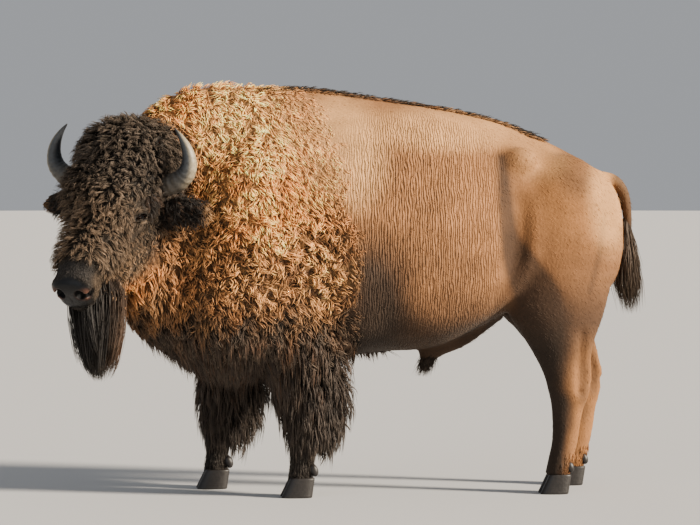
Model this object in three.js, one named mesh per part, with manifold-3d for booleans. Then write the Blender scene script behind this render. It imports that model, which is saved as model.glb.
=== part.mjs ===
// American bison bull, life size, standing still with its head turned to its left.
//
// The animal faces -X with its left side towards -Y and its back towards +Z, in millimetres.
// Its surface, out to the tips of the coat, is one field: a blend of simple rounded forms, each
// with its own named place and radii. Every flesh part is that field, meshed over the part's
// own region and trimmed by the planes where it meets its neighbours, GAP apart. Horns, ears,
// eyes, hooves and tail are swept or turned forms of their own, let into sockets in the flesh.

import * as THREE from "three";
import { mergeVertices } from "three/addons/utils/BufferGeometryUtils.js";
import Module from "manifold-3d";

const wasm = await Module();
wasm.setup();
const { Manifold, Mesh: SolidMesh } = wasm;

// ---------------------------------------------------------------- driving dimensions, mm

const HUMP_TOP = 1813; // the highest point of the coat above the ground
const GAP = 0.3; // between two parts that meet
const FOOT_TOP = 86; // where skin gives way to horn, at the coronet
const FORE_STRIDE = 345; // how far the right forefoot stands ahead of the left
const HIND_STRIDE = 125; // how far the left hind foot stands ahead of the right

const SIDES = { left: -1, right: 1 }; // the sign of Y on each side

// The poll, between the horns, and the way the head is held.
const POLL = new THREE.Vector3(-1018, -250, 1350);
const HEAD_TURN = THREE.MathUtils.degToRad(61.5); // from straight ahead, towards the left
const HEAD_DROP = THREE.MathUtils.degToRad(48); // the nose line, below level
const HEAD_ROLL = THREE.MathUtils.degToRad(-2.3); // the right horn is the higher one

// ---------------------------------------------------------------- frames of the head

// In "level" coordinates a point lies so far ahead of the poll, to the animal's left and up.
const ahead = new THREE.Vector3(-Math.cos(HEAD_TURN), -Math.sin(HEAD_TURN), 0);
const left = new THREE.Vector3(ahead.y, -ahead.x, 0).multiplyScalar(-1);
left.applyAxisAngle(ahead, HEAD_ROLL);
const up = new THREE.Vector3().crossVectors(ahead, left);

const levelPoint = (forward, side, height) =>
  POLL.clone().addScaledVector(ahead, forward).addScaledVector(left, side).addScaledVector(up, height);

// In "face" coordinates it lies so far down the nose line, to the left and out of the brow.
const noseward = ahead.clone().multiplyScalar(Math.cos(HEAD_DROP)).addScaledVector(up, -Math.sin(HEAD_DROP));
const outward = ahead.clone().multiplyScalar(Math.sin(HEAD_DROP)).addScaledVector(up, Math.cos(HEAD_DROP));

const facePoint = (down, side, out) =>
  POLL.clone().addScaledVector(noseward, down).addScaledVector(left, side).addScaledVector(outward, out);

function toFace(p) {
  const d = p.clone().sub(POLL);
  return new THREE.Vector3(d.dot(noseward), d.dot(left), d.dot(outward));
}

// ---------------------------------------------------------------- fields

// A field gives roughly the distance from a point to a form's surface, below 0 inside it.

// The union of two forms, with a fillet about `soft` wide where they meet.
function blend(a, b, soft) {
  const h = Math.max(soft - Math.abs(a - b), 0) / soft;
  return Math.min(a, b) - (h * h * soft) / 4;
}

// The first form with the second scooped out of it.
const scoop = (a, b, soft) => -blend(-a, b, soft);

// A rounded form about `at`, with three radii. A `power` above 2 makes it squarer than an egg.
function rounded(p, { at, radii, power = 2 }) {
  const d = [p.x - at[0], p.y - at[1], p.z - at[2]];
  const reach = d.reduce((sum, v, k) => sum + Math.abs(v / radii[k]) ** power, 0) ** (1 / power);
  return reach < 1e-6 ? -Math.min(...radii) : Math.hypot(...d) * (1 - 1 / reach);
}

// A limb: a chain of joints { at: [x, y, z], long, wide }, where `long` is its half depth fore
// and aft and `wide` its half width from side to side.
function limb(p, joints, soft = 30) {
  let nearest = Infinity;
  for (let i = 1; i < joints.length; i++) {
    const [a, b] = [joints[i - 1], joints[i]];
    const axis = [0, 1, 2].map((k) => b.at[k] - a.at[k]);
    const from = [p.x - a.at[0], p.y - a.at[1], p.z - a.at[2]];
    const along = from.reduce((sum, v, k) => sum + v * axis[k], 0) / axis.reduce((s, v) => s + v * v, 0);
    const t = THREE.MathUtils.clamp(along, 0, 1);
    const off = from.map((v, k) => v - axis[k] * t);
    const long = THREE.MathUtils.lerp(a.long, b.long, t);
    const wide = THREE.MathUtils.lerp(a.wide, b.wide, t);
    const round = Math.min(long, wide);
    const k = Math.hypot(off[0] / long, off[1] / wide, off[2] / round);
    const g = Math.hypot(off[0] / long ** 2, off[1] / wide ** 2, off[2] / round ** 2);
    const d = g < 1e-9 ? -round : (k * (k - 1)) / g;
    nearest = nearest === Infinity ? d : blend(nearest, d, soft);
  }
  return nearest;
}

// A value at x on the smooth curve through the stations' own values.
function along(stations, key, x) {
  const last = stations.length - 1;
  if (x <= stations[0].x) return stations[0][key];
  if (x >= stations[last].x) return stations[last][key];
  const i = stations.findIndex((s) => s.x > x) - 1;
  const slope = (n) => {
    const [a, b] = [stations[Math.max(n - 1, 0)], stations[Math.min(n + 1, last)]];
    return (b[key] - a[key]) / (b.x - a.x);
  };
  const [a, b] = [stations[i], stations[i + 1]];
  const step = b.x - a.x;
  const t = (x - a.x) / step;
  return (
    a[key] * (1 + 2 * t) * (1 - t) ** 2 +
    b[key] * (3 - 2 * t) * t ** 2 +
    step * t * (1 - t) * (slope(i) * (1 - t) - slope(i + 1) * t)
  );
}

// ---------------------------------------------------------------- trunk

// Cross sections from chest to buttocks. `narrow` is how much slimmer than its middle a section
// is at the spine: the hump is a tall blade of back muscle, and the barrel behind it is round.
const TRUNK = [
  { x: -950, top: 1590, belly: 830, half: 140, narrow: 0.2 }, // root of the neck
  { x: -880, top: 1702, belly: 690, half: 212, narrow: 0.3 },
  { x: -740, top: 1788, belly: 552, half: 285, narrow: 0.36 }, // point of the shoulder
  { x: -590, top: HUMP_TOP, belly: 480, half: 332, narrow: 0.42 }, // hump, and brisket below it
  { x: -410, top: 1802, belly: 492, half: 352, narrow: 0.42 },
  { x: -180, top: 1777, belly: 570, half: 352, narrow: 0.36 }, // girth, behind the elbow
  { x: 110, top: 1734, belly: 612, half: 368, narrow: 0.26 },
  { x: 360, top: 1696, belly: 632, half: 378, narrow: 0.2 }, // widest of the barrel
  { x: 600, top: 1648, belly: 735, half: 318, narrow: 0.24 }, // loin and flank
  { x: 800, top: 1578, belly: 850, half: 252, narrow: 0.3 }, // hips
  { x: 1000, top: 1482, belly: 950, half: 212, narrow: 0.28 }, // croup
  { x: 1130, top: 1395, belly: 1040, half: 150, narrow: 0.15 }, // seat bones
  { x: 1195, top: 1290, belly: 1130, half: 70, narrow: 0 },
];

const FULLNESS = 2.3; // of a cross section: 2 is a plain oval

function trunk(p) {
  const [first, last] = [TRUNK[0], TRUNK.at(-1)];
  const x = THREE.MathUtils.clamp(p.x, first.x, last.x);
  const [top, belly] = [along(TRUNK, "top", x), along(TRUNK, "belly", x)];
  const height = (top - belly) / 2;
  const rise = p.z - (top + belly) / 2;
  const level = THREE.MathUtils.clamp(rise / height, -1, 1);
  const half = along(TRUNK, "half", x) * (1 - along(TRUNK, "narrow", x) * level);
  const from = Math.hypot(p.y, rise);
  const share = (Math.abs(p.y / half) ** FULLNESS + Math.abs(rise / height) ** FULLNESS) ** (1 / FULLNESS);
  const across = share < 1e-6 ? -Math.min(half, height) : from * (1 - 1 / share);
  const past = p.x - x;
  return past === 0 ? across : Math.hypot(Math.max(across, 0), past) + Math.min(across, 0) * 0.2;
}

// The muscle masses that stand out from the trunk, the same on both sides.
const MUSCLES = [
  { name: "shoulder blade", at: [-430, 232, 1120], radii: [230, 150, 400], soft: 110 },
  { name: "upper arm", at: [-560, 235, 830], radii: [190, 135, 190], soft: 110 },
  { name: "ribs", at: [330, 215, 1040], radii: [330, 176, 330], soft: 90 },
  { name: "hook bone", at: [728, 196, 1462], radii: [74, 52, 60], soft: 90 },
  { name: "haunch", at: [925, 132, 1170], radii: [232, 142, 320], soft: 80 },
  { name: "buttock", at: [1108, 98, 1130], radii: [96, 96, 250], soft: 60 },
];

// ---------------------------------------------------------------- legs

// Hair hangs round the forearm to below the knee, like a pair of chaps, most of it behind.
function foreleg(p, side) {
  const stride = side === SIDES.right ? -FORE_STRIDE : 0;
  const y = side * 190;
  const bone = [
    { at: [-345 + stride * 0.45, side * 235, 860], long: 150, wide: 115 }, // elbow
    { at: [-275 + stride * 0.85, y, 440], long: 72, wide: 66 }, // knee
    { at: [-243 + stride, y, 340], long: 52, wide: 46 },
    { at: [-228 + stride, y, 190], long: 50, wide: 47 }, // fetlock
    { at: [-240 + stride, y, 60], long: 53, wide: 54 }, // pastern
  ];
  const chaps = [
    { at: [-300 + stride * 0.5, side * 215, 800], long: 200, wide: 140 },
    { at: [-185 + stride * 0.88, y, 560], long: 168, wide: 128 },
    { at: [-168 + stride * 0.97, y, 400], long: 166, wide: 116 },
    { at: [-168 + stride, y, 260], long: 124, wide: 92 },
    { at: [-168 + stride, y, 190], long: 74, wide: 60 },
  ];
  return blend(limb(p, bone, 40), limb(p, chaps, 90), 40);
}

function hindLeg(p, side) {
  const stride = side === SIDES.right ? HIND_STRIDE : 0;
  const y = side * 168;
  const bone = [
    { at: [950, side * 145, 1080], long: 235, wide: 128 }, // thigh
    { at: [895, side * 160, 850], long: 225, wide: 116 }, // stifle and ham
    { at: [900 + stride * 0.2, side * 165, 757], long: 190, wide: 98 },
    { at: [915 + stride * 0.4, y, 647], long: 138, wide: 78 }, // gaskin
    { at: [928 + stride * 0.6, y, 560], long: 106, wide: 62 },
    { at: [948 + stride * 0.9, y, 460], long: 95, wide: 54 }, // hock
    { at: [940 + stride, y, 361], long: 70, wide: 44 }, // cannon
    { at: [930 + stride, y, 229], long: 58, wide: 46 },
    { at: [908 + stride, y, 141], long: 52, wide: 50 }, // fetlock
    { at: [890 + stride, y, 60], long: 52, wide: 50 }, // pastern
  ];
  const tendon = [
    { at: [1000 + stride * 0.55, y, 720], long: 50, wide: 34 },
    { at: [1006 + stride * 0.75, y, 600], long: 36, wide: 26 },
    { at: [1004 + stride * 0.9, y, 505], long: 42, wide: 32 }, // point of the hock
  ];
  return blend(limb(p, bone, 40), limb(p, tendon, 30), 40);
}

// ---------------------------------------------------------------- neck and head

const NECK = [
  { name: "crest", at: [-865, -58, 1270], radii: [190, 232, 380], soft: 110 },
  { name: "throat mane", at: [-848, -105, 884], radii: [170, 205, 226], soft: 110 },
  { name: "jaw mane", at: [-925, -195, 1020], radii: [150, 160, 215], soft: 90 },
];

// Forms of the head in face coordinates; a pair stands on both sides of the nose line.
const HEAD = [
  { name: "skull", at: [100, 0, -100], radii: [235, 158, 140], soft: 1 },
  { name: "brow wool", at: [80, 0, 30], radii: [250, 232, 172], soft: 60 },
  { name: "crown wool", at: [-122, 0, 42], radii: [205, 240, 198], soft: 80 },
  { name: "poll wool", at: [-120, 0, -120], radii: [200, 205, 160], soft: 90 },
  { name: "wool of the nose bridge", at: [325, 0, -18], radii: [240, 162, 142], soft: 60 },
  { name: "muzzle", at: [506, 0, -52], radii: [84, 88, 92], power: 2.8, soft: 40 },
  { name: "chin", at: [492, 0, -152], radii: [76, 64, 46], soft: 24 },
  { name: "jaw", at: [320, 0, -165], radii: [225, 92, 92], soft: 50 },
  { name: "eye socket", at: [162, 132, -20], radii: [58, 44, 50], soft: 40, pair: true },
  { name: "cheek", at: [235, 100, -165], radii: [150, 70, 112], soft: 50, pair: true },
  { name: "nostril wing", at: [540, 50, -22], radii: [44, 38, 44], soft: 24, pair: true },
];
const EYE_HOLLOW = { at: [182, 256, 24], radii: [98, 106, 102], soft: 30 };

// The beard hangs straight down from the chin and the front of the jaw.
const BEARD = [
  { at: facePoint(405, 0, -170).toArray(), long: 112, wide: 118 },
  { at: [-1112, -410, 745], long: 98, wide: 108 },
  { at: [-1114, -414, 630], long: 70, wide: 72 },
  { at: [-1110, -412, 556], long: 28, wide: 30 },
];

// The nose swings a little to the animal's right of the line down from poll and brow.
const NOSE_SWING = 24;
const swingAt = (down) => NOSE_SWING * THREE.MathUtils.smoothstep(down, 200, 560);

function head(p) {
  const q = toFace(p);
  q.y += swingAt(q.x);
  const mirrored = new THREE.Vector3(q.x, Math.abs(q.y), q.z);
  let d = Infinity;
  for (const form of HEAD) {
    const next = rounded(form.pair ? mirrored : q, form);
    d = d === Infinity ? next : blend(d, next, form.soft);
  }
  d = scoop(d, rounded(mirrored, EYE_HOLLOW), EYE_HOLLOW.soft);
  return blend(d, limb(p, BEARD, 40), 40);
}

// The sheath under the belly, with its tuft of hair, and the fold that runs back to the groin.
const SHEATH = [
  { at: [640, 0, 772], long: 44, wide: 34 },
  { at: [500, 0, 676], long: 50, wide: 40 },
  { at: [400, 0, 636], long: 50, wide: 42 },
  { at: [346, 0, 600], long: 42, wide: 36 },
  { at: [326, 0, 530], long: 24, wide: 22 },
];

// ---------------------------------------------------------------- the whole surface

function body(p) {
  const mirrored = new THREE.Vector3(p.x, Math.abs(p.y), p.z);
  let d = trunk(p);
  for (const form of MUSCLES) d = blend(d, rounded(mirrored, form), form.soft);
  for (const side of Object.values(SIDES)) {
    if (p.z < 1500 && p.x < 500) d = blend(d, foreleg(p, side), 60);
    if (p.z < 1700 && p.x > 300) d = blend(d, hindLeg(p, side), 50);
  }
  if (p.x > 100 && p.z < 1200) d = blend(d, limb(p, SHEATH), 40);
  if (p.x < -300) {
    for (const form of NECK) d = blend(d, rounded(p, form), form.soft);
    d = blend(d, head(p), 70);
  }
  return d;
}

// ---------------------------------------------------------------- meshing a field

// A grid cell's corners, one bit to an axis, and its edges, each from its lower corner.
const CORNERS = [0, 1, 2, 3, 4, 5, 6, 7].map((c) => [c & 1, (c >> 1) & 1, (c >> 2) & 1]);
const EDGES = CORNERS.flatMap((_, n) =>
  [0, 1, 2].filter((k) => !((n >> k) & 1)).map((k) => [n, n | (1 << k)]),
);
const edgeBetween = (a, b) => EDGES.findIndex(([p, q]) => p === Math.min(a, b) && q === Math.max(a, b));

// Each face as its four corners in turn, and the edge that leads on from each.
const FACES = [0, 1, 2].flatMap((k) =>
  [0, 1].map((s) => {
    const [u, w] = [1 << (k + 1) % 3, 1 << (k + 2) % 3];
    const ring = [0, u, u | w, w].map((c) => c | (s << k));
    return { ring, edges: ring.map((c, n) => edgeBetween(c, ring[(n + 1) % 4])) };
  }),
);

// The sheets of surface within one cell: for each of its edges, the sheet that crosses it.
// Where a face is crossed four times, the corners inside the form are kept apart.
function sheetsOf(inside) {
  const sheet = EDGES.map(([a, b], n) => (inside[a] === inside[b] ? -1 : n));
  const join = (a, b) => {
    const [from, to] = [sheet[a], sheet[b]];
    for (let n = 0; n < sheet.length; n++) if (sheet[n] === from) sheet[n] = to;
  };
  for (const { ring, edges } of FACES) {
    const crossed = edges.filter((e) => sheet[e] >= 0);
    if (crossed.length === 2) join(...crossed);
    if (crossed.length === 4) ring.forEach((c, n) => inside[c] && join(edges[(n + 3) % 4], edges[n]));
  }
  return sheet;
}

// Dual contouring: one vertex in each grid cell for every sheet of surface that passes through
// it, drawn onto the surface itself, and one quad across each grid edge that is crossed.
// The grid's box and its cells are given in the frame's own coordinates.
function meshField(field, min, max, cell, frame = new THREE.Matrix4()) {
  const [nx, ny, nz] = [0, 1, 2].map((k) => Math.ceil((max[k] - min[k]) / cell[k]) + 1);
  const at = (i, j, k) => (k * ny + j) * nx + i;
  const place = (i, j, k) =>
    new THREE.Vector3(min[0] + i * cell[0], min[1] + j * cell[1], min[2] + k * cell[2]).applyMatrix4(frame);
  const values = new Float32Array(nx * ny * nz);
  for (let k = 0; k < nz; k++)
    for (let j = 0; j < ny; j++)
      for (let i = 0; i < nx; i++) {
        const onBorder = i === 0 || j === 0 || k === 0 || i === nx - 1 || j === ny - 1 || k === nz - 1;
        values[at(i, j, k)] = onBorder ? cell[0] : field(place(i, j, k));
      }

  const vertices = [];
  const vertexOf = new Map(); // for each cell, the vertex that belongs to each of its edges
  for (let k = 0; k < nz - 1; k++)
    for (let j = 0; j < ny - 1; j++)
      for (let i = 0; i < nx - 1; i++) {
        const v = CORNERS.map(([a, b, c]) => values[at(i + a, j + b, k + c)]);
        const sheets = sheetsOf(v.map((value) => value < 0));
        const ids = new Array(EDGES.length).fill(-1);
        for (const sheet of new Set(sheets.filter((n) => n >= 0))) {
          const own = EDGES.map((_, n) => n).filter((n) => sheets[n] === sheet);
          const mean = new THREE.Vector3();
          for (const n of own) {
            const [a, b] = EDGES[n];
            const t = v[a] / (v[a] - v[b]);
            mean.add(new THREE.Vector3(...CORNERS[a]).lerp(new THREE.Vector3(...CORNERS[b]), t));
            ids[n] = vertices.length;
          }
          mean.divideScalar(own.length);
          vertices.push(settle(field, place(i + mean.x, j + mean.y, k + mean.z), Math.min(...cell)));
        }
        if (vertices.length) vertexOf.set(at(i, j, k), ids);
      }

  const triangles = [];
  const strides = [1, nx, nx * ny];
  for (let k = 0; k < nz - 1; k++)
    for (let j = 0; j < ny - 1; j++)
      for (let i = 0; i < nx - 1; i++)
        for (let axis = 0; axis < 3; axis++) {
          const here = at(i, j, k);
          const inside = values[here] < 0;
          if (inside === values[here + strides[axis]] < 0) continue;
          const [u, w] = [(axis + 1) % 3, (axis + 2) % 3];
          const ring = [[1, 1], [0, 1], [0, 0], [1, 0]].map(([du, dw]) => {
            const low = (du << u) | (dw << w);
            const sheets = vertexOf.get(here - du * strides[u] - dw * strides[w]);
            return sheets[edgeBetween(low, low | (1 << axis))];
          });
          const [a, b, c, d] = inside ? ring : ring.reverse();
          const shorter = vertices[a].distanceTo(vertices[c]) < vertices[b].distanceTo(vertices[d]);
          triangles.push(...(shorter ? [a, b, c, a, c, d] : [a, b, d, b, c, d]));
        }
  const positions = vertices.flatMap((v) => v.toArray());
  const geometry = new THREE.BufferGeometry();
  geometry.setAttribute("position", new THREE.Float32BufferAttribute(positions, 3));
  geometry.setIndex(triangles);
  return geometry;
}

// Moves a point onto the surface by a few steps down the field's slope.
function settle(field, start, cell) {
  const p = start.clone();
  const probe = 0.5;
  for (let step = 0; step < 4; step++) {
    const here = field(p);
    const slope = ["x", "y", "z"].map((axis) => {
      const q = p.clone();
      q[axis] += probe;
      return (field(q) - here) / probe;
    });
    const steepness = slope.reduce((sum, s) => sum + s * s, 0);
    if (steepness < 1e-6) break;
    p.sub(new THREE.Vector3(...slope).multiplyScalar(here / steepness));
  }
  return p.distanceTo(start) > cell ? start : p;
}

// ---------------------------------------------------------------- solids

function solidOf(geometry) {
  const bare = geometry.clone();
  bare.deleteAttribute("normal");
  bare.deleteAttribute("uv");
  const merged = mergeVertices(bare, 1e-3);
  return new Manifold(
    new SolidMesh({
      numProp: 3,
      vertProperties: merged.attributes.position.array,
      triVerts: new Uint32Array(merged.index.array),
    }),
  );
}

function geometryOf(solid) {
  const { numProp, vertProperties, triVerts } = solid.getMesh();
  const points = new Float32Array((vertProperties.length / numProp) * 3);
  for (let i = 0; i < points.length / 3; i++) {
    points.set(vertProperties.subarray(i * numProp, i * numProp + 3), i * 3);
  }
  const geometry = new THREE.BufferGeometry();
  geometry.setAttribute("position", new THREE.BufferAttribute(points, 3));
  geometry.setIndex(new THREE.BufferAttribute(triVerts, 1));
  geometry.computeVertexNormals();
  return geometry;
}

// Everything on the far side of a plane, as a block big enough to trim any part.
function beyond({ at, normal }, clearance = GAP / 2) {
  const reach = 6000;
  const direction = new THREE.Vector3(...normal).normalize();
  const block = new THREE.BoxGeometry(reach, reach, reach);
  block.translate(0, 0, reach / 2 - clearance);
  block.applyQuaternion(new THREE.Quaternion().setFromUnitVectors(new THREE.Vector3(0, 0, 1), direction));
  block.translate(...at);
  return solidOf(block);
}

const flipped = ({ at, normal }) => ({ at, normal: normal.map((v) => -v) });

const biggestPiece = (solid) => solid.decompose().sort((a, b) => b.volume() - a.volume())[0];

// A closed tube of rings, each a loop of points, with a flat cap at either end.
function skinRings(rings) {
  const sides = rings[0].length;
  const points = rings.flat();
  const triangles = [];
  for (let r = 0; r < rings.length - 1; r++)
    for (let s = 0; s < sides; s++) {
      const [a, b] = [r * sides + s, r * sides + ((s + 1) % sides)];
      triangles.push(a, b, b + sides, a, b + sides, a + sides);
    }
  const middle = (ring) => ring.reduce((sum, v) => sum.add(v), new THREE.Vector3()).divideScalar(sides);
  const [first, last] = [points.length, points.length + 1];
  points.push(middle(rings[0]), middle(rings.at(-1)));
  const end = (rings.length - 1) * sides;
  for (let s = 0; s < sides; s++) {
    const next = (s + 1) % sides;
    triangles.push(first, next, s, last, end + s, end + next);
  }
  const geometry = new THREE.BufferGeometry();
  geometry.setAttribute("position", new THREE.Float32BufferAttribute(points.flatMap((v) => v.toArray()), 3));
  geometry.setIndex(triangles);
  return geometry;
}

// An oval rod along a curve. Its stations hold { point, wide, thick }; `across` is the
// direction its width keeps to. A socket for the rod is the same form, grown all round.
function sweep(stations, across, sides, steps, grow = 0) {
  const curve = new THREE.CatmullRomCurve3(stations.map((s) => s.point), false, "centripetal");
  const rings = [];
  for (let n = 0; n <= steps; n++) {
    const t = n / steps;
    const spot = t * (stations.length - 1);
    const i = Math.min(Math.floor(spot), stations.length - 2);
    const size = (key) => THREE.MathUtils.lerp(stations[i][key], stations[i + 1][key], spot - i) + grow;
    const tangent = curve.getTangent(t);
    const overrun = n === 0 ? -grow : n === steps ? grow : 0;
    const centre = curve.getPoint(t).addScaledVector(tangent, overrun);
    const side = across.clone().addScaledVector(tangent, -across.dot(tangent)).normalize();
    const depth = new THREE.Vector3().crossVectors(tangent, side);
    rings.push(
      Array.from({ length: sides }, (_, s) => {
        const angle = (s / sides) * 2 * Math.PI;
        return centre
          .clone()
          .addScaledVector(side, Math.cos(angle) * size("wide"))
          .addScaledVector(depth, Math.sin(angle) * size("thick"));
      }),
    );
  }
  return solidOf(skinRings(rings));
}

// ---------------------------------------------------------------- horns, ears and eyes

const HORN = [
  // side, up, ahead of the poll, and radius
  [110, 8, -38, 52],
  [190, 12, -30, 51],
  [262, 30, -22, 47],
  [310, 72, -14, 41],
  [323, 124, -7, 33],
  [312, 176, 0, 24],
  [286, 222, 5, 13],
  [257, 257, 8, 3],
];
const HORN_SIDES = 9;
const HORN_STEPS = 13;

function horn(side, grow = 0) {
  const stations = HORN.map(([out, height, forward, radius]) => ({
    point: levelPoint(forward, -side * out, height),
    wide: radius,
    thick: radius * 0.94,
  }));
  return sweep(stations, ahead, HORN_SIDES, HORN_STEPS, grow);
}

const EAR = [
  // side, up, ahead of the poll, half width and half thickness
  [130, -88, -58, 26, 18],
  [205, -90, -62, 42, 18],
  [290, -88, -65, 60, 16],
  [360, -94, -70, 46, 11],
  [405, -101, -76, 12, 5],
];
const EAR_SIDES = 8;
const EAR_STEPS = 6;
const EAR_CUP = { wide: 0.6, thick: 0.8, forward: 1.1 }; // the hollow front, against the ear's own size

function ear(side, grow = 0) {
  const place = ([out, height, forward], lift = 0) => levelPoint(forward + lift, -side * out, height);
  const stations = EAR.map((row) => ({ point: place(row), wide: row[3], thick: row[4] }));
  const outer = sweep(stations, up, EAR_SIDES, EAR_STEPS, grow);
  if (grow) return outer;
  const hollow = EAR.slice(2, 4).map((row) => ({
    point: place(row, row[4] * EAR_CUP.forward),
    wide: row[3] * EAR_CUP.wide,
    thick: row[4] * EAR_CUP.thick,
  }));
  return outer.subtract(sweep(hollow, up, 6, 2));
}

const EYE = { down: 166, side: 161, out: 3, radius: 26 };

function eye(side, grow = 0) {
  const ball = new THREE.SphereGeometry(EYE.radius + grow, 9, 6);
  ball.translate(...facePoint(EYE.down, -side * EYE.side, EYE.out).toArray());
  return solidOf(ball);
}

const NOSTRIL = { down: 578, side: 52, out: -18, radii: [30, 15, 24] };

function nostril(side) {
  const hollow = new THREE.SphereGeometry(1, 10, 7);
  const axes = new THREE.Matrix4().makeBasis(noseward, left.clone().multiplyScalar(-1), outward);
  hollow.scale(...NOSTRIL.radii).applyMatrix4(axes);
  const sideways = -side * NOSTRIL.side - swingAt(NOSTRIL.down);
  hollow.translate(...facePoint(NOSTRIL.down, sideways, NOSTRIL.out).toArray());
  return solidOf(hollow);
}

// ---------------------------------------------------------------- tail

const TAIL_ROOT = new THREE.Vector3(1090, 0, 1385);
const TAIL = [
  { point: TAIL_ROOT, wide: 34, thick: 40 },
  { point: new THREE.Vector3(1172, 0, 1372), wide: 31, thick: 34 },
  { point: new THREE.Vector3(1222, 0, 1312), wide: 27, thick: 27 },
  { point: new THREE.Vector3(1240, 0, 1210), wide: 22, thick: 22 },
  { point: new THREE.Vector3(1238, 0, 1110), wide: 20, thick: 20 },
];
const SIDEWAYS = new THREE.Vector3(0, 1, 0);
const tail = (grow = 0) => sweep(TAIL, SIDEWAYS, 8, 8, grow);

const TASSEL = [
  { point: new THREE.Vector3(1239, 0, 1126), wide: 24, thick: 24 },
  { point: new THREE.Vector3(1241, 0, 1010), wide: 40, thick: 42 },
  { point: new THREE.Vector3(1250, 0, 905), wide: 46, thick: 50 },
  { point: new THREE.Vector3(1260, 0, 790), wide: 16, thick: 18 },
];

// ---------------------------------------------------------------- hooves

// A claw stands flat on the ground, and leans back from its toe up to the coronet.
const CLAW = { length: 130, width: 60, rise: FOOT_TOP - GAP, lean: 27, cleft: 5 };
const CLAW_SIDES = 10;

function clawOutline(length, width, height, shift) {
  const squareness = 0.8;
  return Array.from({ length: CLAW_SIDES }, (_, n) => {
    const angle = (n / CLAW_SIDES) * 2 * Math.PI;
    const [c, s] = [Math.cos(angle), Math.sin(angle)];
    const bow = (v) => Math.sign(v) * Math.abs(v) ** squareness;
    return new THREE.Vector3(shift + (bow(c) * length) / 2, (bow(s) * width) / 2, height);
  });
}

function claw(size) {
  const { length, width, rise, lean } = CLAW;
  const rings = [0, 0.1, 1].map((h) => {
    const taper = 1 - 0.22 * h - (h === 0 ? 0.03 : 0);
    return clawOutline(length * size * taper, width * size * (1 - 0.1 * h), rise * h, lean * h);
  });
  return solidOf(skinRings(rings));
}

const FEET = {
  fore_left: { x: -256, y: -190, size: 1.04 },
  fore_right: { x: -256 - FORE_STRIDE, y: 190, size: 1.04 },
  hind_left: { x: 878, y: -168, size: 0.96 },
  hind_right: { x: 878 + HIND_STRIDE, y: 168, size: 0.96 },
};

// Two small horny claws hang behind each fetlock.
const DEWCLAW = { behind: 60, side: 30, height: 118, radii: [20, 15, 26] };

function dewclaw({ x, y, size }, side, grow = 0) {
  const drop = new THREE.SphereGeometry(1, 6, 3);
  drop.scale(...DEWCLAW.radii.map((r) => r * size + grow));
  drop.translate(x + 13 + DEWCLAW.behind * size, y + side * DEWCLAW.side, DEWCLAW.height);
  return solidOf(drop);
}

// ---------------------------------------------------------------- where the parts meet

const onFace = (down, out) => facePoint(down, 0, out).toArray();
const faceWay = (down, out) => noseward.clone().multiplyScalar(down).addScaledVector(outward, out).toArray();

// `normal` points into the part that is named second.
const PLANES = {
  neckToHead: { at: levelPoint(-190, 0, -100).toArray(), normal: ahead.toArray() },
  throatToHead: { at: onFace(300, -265), normal: faceWay(0.31, 1) },
  faceToCrown: { at: onFace(-70, -43), normal: faceWay(-1, 0.6) },
  faceToMuzzle: { at: onFace(440, 0), normal: faceWay(1, 0.12) },
  muzzleToChin: { at: onFace(560, -104), normal: faceWay(0.05, -1) },
  headToBeard: { at: onFace(560, -176), normal: faceWay(0.431, -0.902) },
  shoulderToNeck: { at: [-860, 0, 1700], normal: [-1, 0, -0.09] },
  shoulderToBarrel: { at: [-110, 0, 0], normal: [1, 0, 0] },
  barrelToRump: { at: [610, 0, 0], normal: [1, 0, 0] },
  rumpToThigh: { at: [1000, 0, 960], normal: [0.16, 0, -1] },
  thighToShank: { at: [0, 0, 680], normal: [0, 0, -1] },
  legToPastern: { at: [0, 0, 200], normal: [0, 0, -1] },
  pasternToHoof: { at: [0, 0, FOOT_TOP], normal: [0, 0, -1] },
  leftToRight: { at: [0, 0, 0], normal: [0, 1, 0] },
};

// A block from x0 to x1, y0 to y1 and z0 to z1, grown on every side.
function block([x0, x1], [y0, y1], [z0, z1], grow = 0) {
  const box = new THREE.BoxGeometry(x1 - x0 + 2 * grow, y1 - y0 + 2 * grow, z1 - z0 + 2 * grow);
  return solidOf(box.translate((x0 + x1) / 2, (y0 + y1) / 2, (z0 + z1) / 2));
}

// Each foreleg starts in a block cut out of the chest, so that the brisket hangs between them,
// and the sheath in one cut out of the belly.
const bySide = (side, inner, outer) => [side * inner, side * outer].sort((a, b) => a - b);
const forelegBlock = (side, grow) => block([-980, 170], bySide(side, 45, 700), [-200, 600], grow);
const sheathBlock = (grow) => block([270, 600], [-75, 75], [300, 690], grow);

// ---------------------------------------------------------------- parts of flesh

const WOOL = { color: 0x8a5a35, roughness: 0.95 };
const DARK_WOOL = { color: 0x2e2019, roughness: 0.95 };
const SHORT_COAT = { color: 0x8d6342, roughness: 0.85 };
const LEG_COAT = { color: 0x4a3324, roughness: 0.9 };
const HORN_SHEATH = { color: 0x6b6a64, roughness: 0.45 };
const HOOF_HORN = { color: 0x26221f, roughness: 0.55 };
const EYE_GLASS = { color: 0x1c120c, roughness: 0.08 };
const NOSE_SKIN = { color: 0x1d1a1a, roughness: 0.4 };

const animal = new THREE.Group();

function addPart(name, solid, look) {
  const material = new THREE.MeshStandardMaterial({ ...look, metalness: 0 });
  const mesh = new THREE.Mesh(geometryOf(solid), material);
  mesh.name = name;
  animal.add(mesh);
}

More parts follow.
